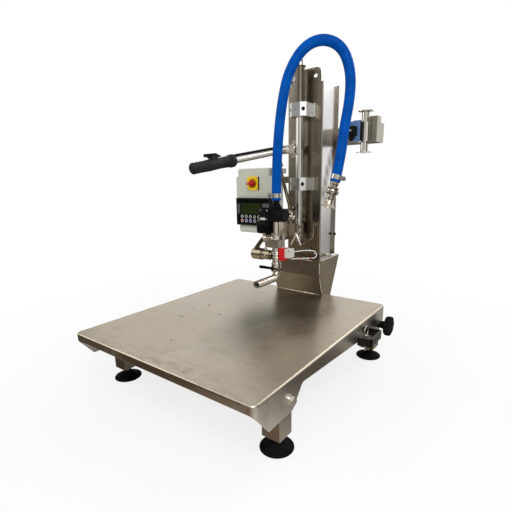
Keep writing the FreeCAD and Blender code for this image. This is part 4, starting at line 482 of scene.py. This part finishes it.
def mesh_object(name, bm, material):
    """A linked object from a finished mesh, with its faces turned outwards."""
    mesh = bpy.data.meshes.new(name)
    bmesh.ops.recalc_face_normals(bm, faces=bm.faces)
    bm.to_mesh(mesh)
    bm.free()
    mesh.materials.append(material)
    return add(name, mesh)


def put(name, bm, material, body, angle=32):
    """A finished piece: smooth, with edges sharper than the angle left sharp, riding on its body."""
    made = mesh_object(name, bm, mats[material])
    for polygon in made.data.polygons:
        polygon.use_smooth = True
    made.data.set_sharp_from_angle(angle=math.radians(angle))
    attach(made, body)
    return made


def box_mm(name):
    """Lowest and highest corner of a CAD node."""
    low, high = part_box(name)
    return low / MM, high / MM


def axes(axis):
    """The unit vector along an axis and two square to it."""
    up = Vector(axis).normalized()
    out = up.orthogonal().normalized()
    return up, out, up.cross(out)


def circle(bm, centre, out, across, radius, steps):
    """Points round a centre, in the plane of two square unit vectors."""
    ring = []
    for i in range(steps):
        angle = 2 * math.pi * i / steps
        place = centre + (out * math.cos(angle) + across * math.sin(angle)) * radius
        ring.append(bm.verts.new(place * MM))
    return ring


def skin(bm, rings, closed=False):
    """Faces between neighbouring rings, with end caps or, where closed, from the last ring to the first."""
    pairs = list(zip(rings, rings[1:]))
    if closed:
        pairs.append((rings[-1], rings[0]))
    else:
        bm.faces.new(rings[0][::-1])
        bm.faces.new(rings[-1])
    for near, far in pairs:
        for j in range(len(near)):
            k = (j + 1) % len(near)
            bm.faces.new((near[j], far[j], far[k], near[k]))


def turned(bm, profile, base, axis, steps=40):
    """A closed turned shape: profile of (radius, height) from base along axis."""
    up, out, across = axes(axis)
    rings = []
    for radius, height in profile:
        centre = Vector(base) + up * height
        if radius < TINY:
            rings.append([bm.verts.new(centre * MM)])
        else:
            rings.append(circle(bm, centre, out, across, radius, steps))
    for low, high in zip(rings, rings[1:]):
        for i in range(steps):
            j = (i + 1) % steps
            if len(low) == 1 and len(high) > 1:
                bm.faces.new((low[0], high[i], high[j]))
            elif len(high) == 1 and len(low) > 1:
                bm.faces.new((low[i], high[0], low[j]))
            elif len(low) > 1:
                bm.faces.new((low[i], high[i], high[j], low[j]))
    for ring in (rings[0][::-1], rings[-1]):
        if len(ring) > 1:
            bm.faces.new(ring)


def slab(bm, low, high, bevel=0.5, segments=2):
    """A plate with rounded edges between two corners."""
    low, high = Vector(low) * MM, Vector(high) * MM
    size = Matrix.Diagonal((*(high - low), 1.0))
    made = bmesh.ops.create_cube(bm, size=1.0, matrix=Matrix.Translation((low + high) / 2) @ size)
    edges = {e for v in made["verts"] for e in v.link_edges}
    bmesh.ops.bevel(bm, geom=list(edges), offset=bevel * MM, segments=segments, affect="EDGES", profile=0.5)


def frame_bars(bm, low, high, width, bevel):
    """Four bars round an upright rectangle between two corners."""
    (x0, y0, z0), (x1, y1, z1) = low, high
    for a, b in (((x0, z0), (x1, z0 + width)), ((x0, z1 - width), (x1, z1)),
                 ((x0, z0), (x0 + width, z1)), ((x1 - width, z0), (x1, z1))):
        slab(bm, (a[0], y0, a[1]), (b[0], y1, b[1]), bevel)


def hex_nut(bm, flats, base, axis, height, bolt=0.0):
    """A chamfered hexagon, with the bolt's rounded end standing out of it where bolt is above 0."""
    corner = flats / math.sqrt(3)
    chamfer = flats * 0.06
    turned(bm, [(corner * 0.93, 0), (corner, chamfer), (corner, height - chamfer), (corner * 0.93, height)],
           base, axis, 6)
    if bolt:
        top = Vector(base) + Vector(axis).normalized() * (height - 0.2)
        turned(bm, [(bolt / 2, 0), (bolt / 2, 1.6), (bolt * 0.38, 2.3), (0, 2.5)], top, axis, 20)


def washer(bm, outer, inner, base, axis, height):
    """A flat ring with its rim's edges broken."""
    edge = 0.3
    turned(bm, [(inner, 0), (outer - edge, 0), (outer, edge), (outer, height - edge), (outer - edge, height),
                (inner, height)], base, axis, 32)


def hoop(bm, centre, axis, radius, thick, steps=48, sides=8):
    """A closed ring of round wire."""
    up, out, across = axes(axis)
    rows = []
    for i in range(steps):
        angle = 2 * math.pi * i / steps
        way = out * math.cos(angle) + across * math.sin(angle)
        rows.append(circle(bm, Vector(centre) + way * radius, way, up, thick, sides))
    skin(bm, rows, closed=True)


def wire(bm, points, radius, reference, sides=8):
    """A round wire through points, none of whose runs is parallel to the reference."""
    rows = []
    for i, point in enumerate(points):
        ahead = points[min(i + 1, len(points) - 1)] - points[max(i - 1, 0)]
        out = ahead.cross(reference).normalized()
        rows.append(circle(bm, point, out, ahead.cross(out).normalized(), radius, sides))
    skin(bm, rows)


def tube(bm, outer, inner, base, axis, height, steps=48):
    """A plain open tube."""
    up, out, across = axes(axis)
    rings = []
    for radius, rise in ((outer, 0), (outer, height), (inner, height), (inner, 0)):
        rings.append(circle(bm, Vector(base) + up * rise, out, across, radius, steps))
    skin(bm, rings, closed=True)


def weld(name, start, end, radius, seed):
    """A weld bead on the table's steelwork: overlapping shallow scales between two points."""
    rng = random.Random(seed)
    sides = 10
    start, end = Vector(start), Vector(end)
    way, out, across = axes(end - start)
    length = (end - start).length
    count = max(6, int(length / (radius * 0.35)))
    bm = bmesh.new()
    rows = []
    for i in range(count + 1):
        t = i / count
        swell = 1.0 + 0.16 * math.sin(i * 2.1) + rng.uniform(-0.06, 0.06)
        taper = min(1.0, 4 * min(t, 1 - t) + 0.12)
        rows.append(circle(bm, start + way * length * t, out, across, radius * swell * taper, sides))
    skin(bm, rows)
    put(name, bm, "bead", "table", 50)


# Pieces

def hose_fitting():
    """Turned fitting on the hose's free end: tail, union with its ribs and rings, neck and open bell."""
    end = Vector(HOSE_POINTS[-1]) / MM
    way, out, across = axes((-15, -15, -75))
    bm = bmesh.new()
    turned(bm, [(0, -6), (11.5, -6), (11.5, 3), (13.4, 4), (13.4, 7), (11.8, 8), (11.8, 13), (15.5, 14.5),
                (17.2, 16), (17.2, 19), (15.8, 20), (15.8, 21.5), (18.6, 23), (19.6, 26), (19.6, 33),
                (18.2, 36), (13.2, 37), (12.6, 39), (12.6, 48), (14.2, 49), (14.2, 52), (13.2, 53), (13.6, 58),
                (15.5, 65), (18.6, 72), (22.0, 75.5), (22.6, 76.5), (22.6, 78), (20.6, 78), (17.0, 71),
                (13.8, 64), (11.4, 57), (11.0, 44), (0, 44)], end, way, 48)
    ribs, rib_ring, rib_start = 12, 19.3, 26
    for i in range(ribs):
        angle = 2 * math.pi * i / ribs
        foot = end + way * rib_start + (out * math.cos(angle) + across * math.sin(angle)) * rib_ring
        turned(bm, [(0, 0), (1.1, 0.4), (1.1, 6.6), (0, 7)], foot, way, 10)
    made = put("clamp_fitting", bm, "fitting", "lift", 40)
    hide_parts("hose_fitting")
    # Painted shade: thin dark hoops in the fitting's steps and grooves, and a dark disc across its bell's mouth
    bm = bmesh.new()
    for height, radius in ((8.4, 11.9), (13.8, 12.4), (21, 15.9), (36.8, 13.8), (48.6, 12.9), (52.8, 13.4)):
        hoop(bm, end + way * height, way, radius, 0.7, 40, 6)
    turned(bm, [(0, 74), (18.2, 74), (18.2, 74.6), (0, 74.6)], end, way, 40)
    put("fitting_groove_shades", bm, "groove_shade", "lift")
    return made


def switch_handle():
    """Red rotary handle with a round hub, a waisted grip and a pale pointer."""
    low, high = box_mm("switch_handle")
    x, z = (low.x + high.x) / 2, (low.z + high.z) / 2
    face = low.y + 22
    bm = bmesh.new()
    turned(bm, [(13.6, 0), (13.6, 4), (12.8, 6), (11.6, 7.5), (0, 8)], (x, face, z), FRONT, 40)
    slab(bm, (x - 19, face - 21, z - 5.2), (x + 19, face - 4, z + 5.2), 3.4, 4)
    slab(bm, (x - 8, face - 17, z - 7.6), (x + 8, face - 5, z + 7.6), 3.0, 4)
    made = put("switch_grip", bm, "red", "switch_handle")
    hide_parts("switch_handle")
    bm = bmesh.new()
    slab(bm, (x - 16, face - 21.4, z - 0.8), (x - 8, face - 20.4, z + 0.8), 0.3)
    put("switch_pointer", bm, "pale", "switch_handle")


def sensor_details():
    """Ribs and screw on the level switch's plug, and its cover's step."""
    low, high = box_mm("sensor_plug")
    bm = bmesh.new()
    for i in range(3):
        x = low.x + 4 + i * 5
        slab(bm, (x, low.y - 0.7, low.z + 3), (x + 2.2, low.y + 0.5, high.z - 9), 0.4)
        slab(bm, (x, low.y + 4, high.z - 0.5), (x + 2.2, high.y - 4, high.z + 1.2), 0.4)
    put("plug_ribs", bm, "pale", "lift")
    bm = bmesh.new()
    turned(bm, [(2.6, 0), (2.6, 0.5), (2.0, 1.0), (0, 1.0)], (high.x - 4, low.y + 0.1, high.z - 5), FRONT, 20)
    put("plug_ribs_screw", bm, "zinc", "lift")
    low, high = box_mm("sensor_block")
    left, right = 18.5, 37
    bm = bmesh.new()
    slab(bm, (left, low.y - 1.0, low.z + 2.5), (right, low.y + 0.6, high.z - 2.5), 0.9, 3)
    put("sensor_cover", bm, "sensor_red", "lift")


def drive_housing():
    """Rounded drive housing under the valve, with its cover's ribs, in place of the plain block."""
    low, high = box_mm("valve_actuator")
    right = -18
    bm = bmesh.new()
    slab(bm, (low.x + 2, low.y, low.z), (right, high.y, high.z), 9, 5)
    slab(bm, (low.x + 5, low.y + 3, high.z - 9), (right + 3, high.y - 3, high.z), 2, 3)
    for i in range(6):
        x = low.x + 11 + i * 6
        slab(bm, (x, low.y - 0.6, low.z + 9), (x + 2.4, low.y + 2, high.z - 10), 0.6)
    made = put("drive_housing", bm, "black", "lift")
    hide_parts("valve_actuator")


def saddle_edge_highlight():
    """Painted highlight: a thin bright bead round the edge of the notch in the plate at the column's foot."""
    radius, middle, top, steps = 47, 410, 445, 24
    points = [(radius, SADDLE_FRONT, top)]
    for i in range(steps + 1):
        angle = -math.pi * i / steps
        points.append((radius * math.cos(angle), SADDLE_FRONT, middle + radius * math.sin(angle)))
    points.append((-radius, SADDLE_FRONT, top))
    nurbs("saddle_edge_highlight", [tuple(v * MM for v in point) for point in points], 0.0008, mats["bead"], "table",
          3)


def meter_details():
    """Black side cover and raised frame of the meter's housing, screw of its plug, slots of its channel."""
    low, high = box_mm("meter_housing")
    top = high.z - 6
    bm = bmesh.new()
    slab(bm, (high.x - 0.3, low.y + 1, low.z + 1), (high.x + 1.8, high.y - 6, top - 1), 0.6)
    put("meter_cover", bm, "black", "table")
    bm = bmesh.new()
    frame_bars(bm, (low.x + 0.3, low.y - 0.9, low.z + 0.3), (high.x - 0.3, low.y + 0.4, top - 0.3), 2.4, 0.4)
    put("meter_frame", bm, "housing_edge", "table")
    low, high = box_mm("meter_plug")
    bm = bmesh.new()
    turned(bm, [(2.6, 0), (2.6, 0.6), (2.0, 1.0), (0, 1.1)], (low.x + 14, low.y, 740), FRONT, 20)
    put("plug_screw", bm, "zinc", "table")
    low, high = box_mm("meter_cradle")
    bm = bmesh.new()
    for i in range(7):
        z = low.z + 8 + i * 10
        for y in (low.y + 5, low.y + 20):
            slab(bm, (high.x - 0.4, y, z), (high.x + 0.25, y + 6, z + 5), 0.2)
    slab(bm, (low.x + 8, low.y - 0.25, low.z + 3), (low.x + 10, low.y + 0.4, high.z - 3), 0.2)
    put("cradle_slots", bm, "black_steel", "table")


def valve_details():
    """Union nut on the valve's tail, rings on its cap, bright drive screws and the pipe's ground rims."""
    bm = bmesh.new()
    turned(bm, [(0, 0), (17.5, 0), (18.5, 1), (18.5, 5), (17.5, 6), (13.5, 8.5), (13.5, 13), (12, 14.5),
                (0, 14.5)], (0, HEAD_Y, 502.5), UP, 8)
    for x in (22, 29, 36):
        hoop(bm, (x, HEAD_Y, 481), (1, 0, 0), 20.6, 1.0, 40, 8)
    slab(bm, (-54, 107.8, 463), (-20, 109.6, 500), 1.2)
    slab(bm, (-52, 115, 501), (-16, 143, 505.5), 2.0, 3)
    turned(bm, [(9, 0), (9, 1.5), (7.5, 2.6), (0, 2.8)], (-2, 109.4, 482), FRONT, 6)
    put("valve_details", bm, "black", "lift")
    bm = bmesh.new()
    for y, z in ((121, 430), (121, 451), (155, 430), (155, 451)):
        hex_nut(bm, 6.5, (-71.9, y, z), (-1, 0, 0), 1.6)
    for x, z in ((-50, 467), (-24, 467), (-50, 496), (-24, 496)):
        turned(bm, [(2, 0), (2, 0.7), (1.5, 1.2), (0, 1.2)], (x, 107.9, z), FRONT, 16)
    put("drive_screws", bm, "zinc", "lift")
    bm = bmesh.new()
    hoop(bm, (0, 12.35, 270), (0, 1, 0), 11.95, 0.6)
    for z, radius in ((352.6, 17.8), (358.4, 17.8), (320.6, 17.4), (291.4, 17.4), (375.5, 14.9), (341.5, 14.9)):
        hoop(bm, (0, HEAD_Y, z), UP, radius, 0.7)
    put("pipe_rims", bm, "bright", "lift")
    bm = bmesh.new()
    tube(bm, 11.05, 10.6, (0, 12.6, 270), (0, 1, 0), 40)
    put("nozzle_liner", bm, "liner", "lift")


def saddle_bolts():
    """Bolts and dark washers on the plate at the column's foot."""
    large = ((36, 343), (54, 331))
    small = (53, SADDLE_FRONT, 436)
    bm = bmesh.new()
    hex_nut(bm, 8, small, FRONT, 4)
    turned(bm, [(7, 0), (7, 1), (5, 1.2), (0, 1.2)], small, FRONT, 24)
    for x, z in large:
        hex_nut(bm, 9, (x, SADDLE_FRONT, z), FRONT, 5, 5)
    put("saddle_bolts", bm, "zinc", "table")
    bm = bmesh.new()
    for x, z in large:
        washer(bm, 8, 3, (x, SADDLE_FRONT, z), FRONT, 1.2)
    put("saddle_washers", bm, "black", "table")


def column_bolt():
    """Small dark bolt on the lug at the column's right side."""
    x, y, z = 79, 405, 391
    bm = bmesh.new()
    washer(bm, 5.5, 2, (x, y, z), FRONT, 1)
    hex_nut(bm, 8, (x, y - 0.8, z), FRONT, 4, 4)
    put("column_bolt", bm, "black_steel", "table")


def fascia_details():
    """Raised frame round the display, the blank grey field beside it, the side strip and the border."""
    bm = bmesh.new()
    frame_bars(bm, (-321.5, 334.2, 455.0), (-214.5, 335.6, 505.5), 2.6, 0.4)
    put("display_frame", bm, "black", "table")
    bm = bmesh.new()
    slab(bm, (-207.5, 334.3, 469), (-174.5, 335.4, 502), 0.4)
    slab(bm, (-338, 334.4, 459), (-326, 335.4, 499), 0.4)
    put("fascia_fields", bm, "field", "table")
    bm = bmesh.new()
    frame_bars(bm, (-343.5, 334.5, 412.5), (-165.5, 335.4, 521.5), 2, 0.3)
    put("fascia_border", bm, "border", "table")


def lid_details():
    """Pale field low on the cover, screws of the main switch's plate, its dark edge and ring."""
    bm = bmesh.new()
    slab(bm, (-333, 344.4, 386), (-240, 345.3, 400), 0.35)
    put("lid_field", bm, "pale", "table")
    x, y, z, spacing = -261, 341, 581, 22.5
    bm = bmesh.new()
    for dx, dz in ((-spacing, spacing), (spacing, spacing), (-spacing, -spacing), (spacing, -spacing)):
        turned(bm, [(2.4, 0), (2.4, 0.5), (1.9, 0.9), (0, 1.0)], (x + dx, y + 0.2, z + dz), FRONT, 20)
    put("switch_screws", bm, "zinc", "table")
    bm = bmesh.new()
    slab(bm, (-233.8, 341.4, z - 27), (-230.6, 345.2, z + 27), 0.6)
    hoop(bm, (x, y, z), (0, 1, 0), 17.5, 1.4)
    put("switch_rim", bm, "black", "table")


def key_rims():
    """Pale ring round each key's cap."""
    for i in range(10):
        name = "key_%d" % (i + 1)
        low, high = box_mm(name)
        bm = bmesh.new()
        hoop(bm, ((low.x + high.x) / 2, low.y + 0.1, (low.z + high.z) / 2), (0, 1, 0), 6.1, 0.85, 32, 8)
        put(name + "_rim", bm, "key_rim", name)


def head_details():
    """Small fittings on the filling head: the valve's tab and stem, the port's nuts, the white tube's bands."""
    bm = bmesh.new()
    slab(bm, (-50, 106.2, 464.5), (-30, 108.2, 472.5), 0.5)
    put("valve_tab", bm, "pale", "lift")
    bm = bmesh.new()
    turned(bm, [(1.3, 0), (1.3, 50), (0.9, 50.6), (0, 50.8)], (-24, 124, 499), UP, 16)
    put("valve_stem", bm, "black", "lift")
    bm = bmesh.new()
    hex_nut(bm, 10, (-46, HEAD_Y, 361.5), UP, 6, 6)
    hex_nut(bm, 8, (-36, 112.5, 346), FRONT, 5, 5)
    hex_nut(bm, 8, (-50, 112.5, 352), FRONT, 5, 4)
    put("port_nuts", bm, "zinc", "lift")
    for i, along in enumerate((0.026, 0.060)):
        bm = bmesh.new()
        turned(bm, [(1.75, 0), (2.3, 0.4), (2.3, 3.6), (1.75, 4)], Vector(tube_place(along, 0.3376)) / MM,
               (*SENSOR_TUBE_WAY, 0), 20)
        put("tube_band_%d" % (i + 1), bm, "sensor_red", "lift")


def trigger_spring():
    """Small bright return spring under the trigger's blade."""
    turns, steps, radius, length = 5, 12, 2.4, 11.0
    start = Vector((LEVER_X, -143, 645.5))
    way = Vector((0, -0.55, 0.835))
    out = Vector((1, 0, 0))
    across = way.cross(out)
    points = []
    for i in range(turns * steps + 1):
        angle = 2 * math.pi * i / steps
        rise = way * length * i / (turns * steps)
        points.append(start + rise + (out * math.cos(angle) + across * math.sin(angle)) * radius)
    bm = bmesh.new()
    wire(bm, points, 0.5, way)
    spring = put("trigger_spring", bm, "zinc", "lever", 60)
    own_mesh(spring)


def release_sleeve():
    """Black cable sleeve along the top of the lever's tube."""
    base = FULCRUM + LEVER_WAY * 61 + LEVER_OVER * 13
    bm = bmesh.new()
    turned(bm, [(0, 0), (2.6, 0), (3.35, 0.8), (3.35, 259.2), (2.6, 260), (0, 260)], base, LEVER_WAY, 20)
    put("release_sleeve", bm, "black", "lever")


def hub_fork():
    """Bright forked bars that hang from the carriage's clamp, with their nut."""
    bm = bmesh.new()
    top = Vector((3.5, 247.2, 405))
    for foot in (Vector((-17, 247.2, 363)), Vector((24, 247.2, 365))):
        way = foot - top
        reach = way.length
        turned(bm, [(0, -3), (3.0, -2.4), (3.6, -1), (3.6, reach - 1), (3.0, reach), (0, reach)], top, way, 20)
    hex_nut(bm, 9, (3.5, 251, 405), FRONT, 7, 5)
    put("hub_fork", bm, "bright", "lift")


def arm_sheet():
    """Thin upright sheet on the carriage's side arm, with a rolled top edge."""
    front, back = 190, 252
    bm = bmesh.new()
    slab(bm, (LEVER_X - 2.5, front, 384), (LEVER_X + 2.5, back, 449), 0.8)
    slab(bm, (LEVER_X - 3.2, front, 448), (LEVER_X + 3.2, back, 451.5), 1.2)
    put("arm_sheet", bm, "arm", "lift")


def console_seams():
    """Ground weld seams along the console's front corners, its rim and its foot."""
    low, high = box_mm("console")
    front, rim, foot = low.y + 0.4, high.z - 0.6, low.y + 26.6
    table, bend, bead = 183, 258, 1.1
    for side, x in (("left", low.x + 0.4), ("right", high.x - 0.4)):
        weld("console_seam_" + side, (x, front, bend), (x, front, high.z - 0.5), bead, 5)
        weld("console_foot_seam_" + side, (x, low.y + 27, table + 1), (x, low.y + 0.6, bend - 1), bead, 6)
        weld("console_rim_" + side, (x, low.y + 1, rim), (x, high.y - 4, rim), bead, 7)
    weld("console_rim_front", (low.x + 1, front, rim), (high.x - 1, front, rim), 1.0, 8)
    weld("console_foot", (low.x + 2, foot, table + 0.3), (high.x - 2, foot, table + 0.3), 1.5, 3)


fitting = hose_fitting()
for build in (switch_handle, sensor_details, drive_housing, saddle_edge_highlight, meter_details, valve_details,
              saddle_bolts, column_bolt, release_sleeve, hub_fork, arm_sheet, console_seams, fascia_details,
              lid_details, key_rims, head_details, trigger_spring):
    build()


# Floor, light and background

FLOOR_RADIUS = 6000
SURROUND_RADIUS = 3000
SURROUND_FOOT = 0.3
SURROUND_HEIGHT = 2400
SOFT_WORLD = 0.42
WHITE = (1, 1, 1, 1)
# What metal reflects round the studio, by bearing in degrees from the object: (bearing, grey)
WALL_TONES = [(-180, 0.40), (-164, 0.40), (-156, 0.17), (-108, 0.17), (-100, 0.60), (-40, 0.60), (-34, 1.0),
              (-12, 1.0), (-6, 0.08), (26, 0.08), (34, 1.0), (80, 1.0), (86, 0.35), (97, 0.35), (103, 1.0),
              (160, 1.0), (168, 0.40), (180, 0.40)]
GROUND_TONES = [(-180, 0.16), (-150, 0.26), (-100, 0.26), (-88, 0.80), (-36, 0.80), (-26, 0.50), (-14, 0.30),
                (-6, 0.10), (26, 0.10), (36, 0.46), (100, 0.46), (112, 0.12), (180, 0.12)]
# Name, place, target, width, height and power
LIGHTS = [("key", (1.6, -1.5, 2.2), (0, 0, 0.35), 1.4, 1.4, 42),
          ("fill", (-2.0, -1.2, 1.5), (0, 0, 0.4), 1.6, 1.6, 16),
          ("back", (0.6, 2.2, 1.9), (0, 0.1, 0.4), 1.6, 1.0, 18)]


def make_floor():
    """Pale floor that shows white to the camera and to metal, and keeps the object's shadow near it."""
    bm = bmesh.new()
    turned(bm, [(FLOOR_RADIUS, -2), (FLOOR_RADIUS, -0.5), (0, -0.5)], (0, 0, 0), UP, 64)
    paint = Paint("floor_paint")
    tone = paint.mix(paint.spread(paint.noise(3.0), 0.0, 1.0), (0.90, 0.90, 0.90, 1), (0.93, 0.93, 0.93, 1))
    paint.link(tone, "Base Color")
    paint.shader.inputs["Roughness"].default_value = 0.9
    light = paint.node("ShaderNodeEmission", {"Color": WHITE, "Strength": 1.0})
    rays = paint.node("ShaderNodeLightPath").outputs
    share = paint.spread(paint.length(paint.coords), 0.80, 1.0, 0.45, 1.5)
    seen = paint.math("MAXIMUM", rays["Is Camera Ray"], rays["Is Glossy Ray"])
    both = paint.node("ShaderNodeMixShader", {
        0: paint.math("MULTIPLY", seen, share), 1: paint.shader.outputs[0], 2: light.outputs[0]})
    paint.surface(both.outputs[0])
    mesh_object("floor", bm, paint.material)


def ramp(paint, fac, stops, tint):
    """A blend of tinted greys along a value from 0 to 1."""
    made = paint.node("ShaderNodeValToRGB", {0: fac})
    band = made.color_ramp
    while len(band.elements) < len(stops):
        band.elements.new(1.0)
    for element, (bearing, grey) in zip(band.elements, stops):
        element.position = (bearing + 180) / 360
        element.color = tuple(grey ** power for power in tint) + (1.0,)
    return made.outputs[0]


def make_surround():
    """Studio flags and workshop floor that only metal reflects: a disc on the floor and a low wall."""
    steps = 72
    out, across = Vector((1, 0, 0)), Vector((0, 1, 0))
    bm = bmesh.new()
    low, high = (circle(bm, Vector((0, 0, z)), out, across, SURROUND_RADIUS, steps)
                 for z in (SURROUND_FOOT, SURROUND_HEIGHT))
    bm.faces.new(low)
    for i in range(steps):
        j = (i + 1) % steps
        bm.faces.new((low[i], low[j], high[j], high[i]))
    paint = Paint("surround_paint")
    place = paint.node("ShaderNodeSeparateXYZ", {0: paint.coords}).outputs
    bearing = paint.spread(paint.math("ARCTAN2", place[1], place[0]), 0.0, 1.0, -math.pi, math.pi)
    wall = ramp(paint, bearing, WALL_TONES, (1.0, 1.02, 1.06))
    ground = ramp(paint, bearing, GROUND_TONES, (0.96, 1.02, 1.12))
    lit = paint.mix(paint.spread(place[2], 0.0, 0.20, 0.3, 1.8), wall, WHITE)
    color = paint.mix(paint.spread(place[2], 0.0, 1.0, 0.01, 0.25), ground, lit)
    paint.surface(paint.node("ShaderNodeEmission", {"Color": color, "Strength": 1.0}).outputs[0])
    surround = mesh_object("surround", bm, paint.material)
    surround.visible_camera = False
    surround.visible_diffuse = False
    surround.visible_shadow = False


def make_world():
    """White to the camera, to metal and through glass, and a softer white on everything else."""
    world = bpy.data.worlds.new("studio")
    world.use_nodes = True
    tree = world.node_tree
    tree.nodes.clear()
    output = tree.nodes.new("ShaderNodeOutputWorld")
    both = tree.nodes.new("ShaderNodeMixShader")
    for socket, strength in ((1, SOFT_WORLD), (2, 1.0)):
        sky = tree.nodes.new("ShaderNodeBackground")
        sky.inputs["Color"].default_value = WHITE
        sky.inputs["Strength"].default_value = strength
        tree.links.new(sky.outputs[0], both.inputs[socket])
    rays = tree.nodes.new("ShaderNodeLightPath").outputs
    seen = rays["Is Camera Ray"]
    for kind in ("Is Glossy Ray", "Is Transmission Ray"):
        either = tree.nodes.new("ShaderNodeMath")
        either.operation = "MAXIMUM"
        tree.links.new(seen, either.inputs[0])
        tree.links.new(rays[kind], either.inputs[1])
        seen = either.outputs[0]
    tree.links.new(seen, both.inputs[0])
    tree.links.new(both.outputs[0], output.inputs["Surface"])
    bpy.context.scene.world = world


def area_light(name, place, target, width, height, power):
    data = bpy.data.lights.new(name, "AREA")
    data.shape = "RECTANGLE"
    data.size = width
    data.size_y = height
    data.energy = power
    way = Vector(target) - Vector(place)
    turn = way.to_track_quat("-Z", "Y").to_matrix()
    add(name, data).matrix_world = Matrix.Translation(place) @ turn.to_4x4()


make_floor()
make_surround()
make_world()
for values in LIGHTS:
    area_light(*values)

bpy.context.scene.view_settings.view_transform = "Standard"
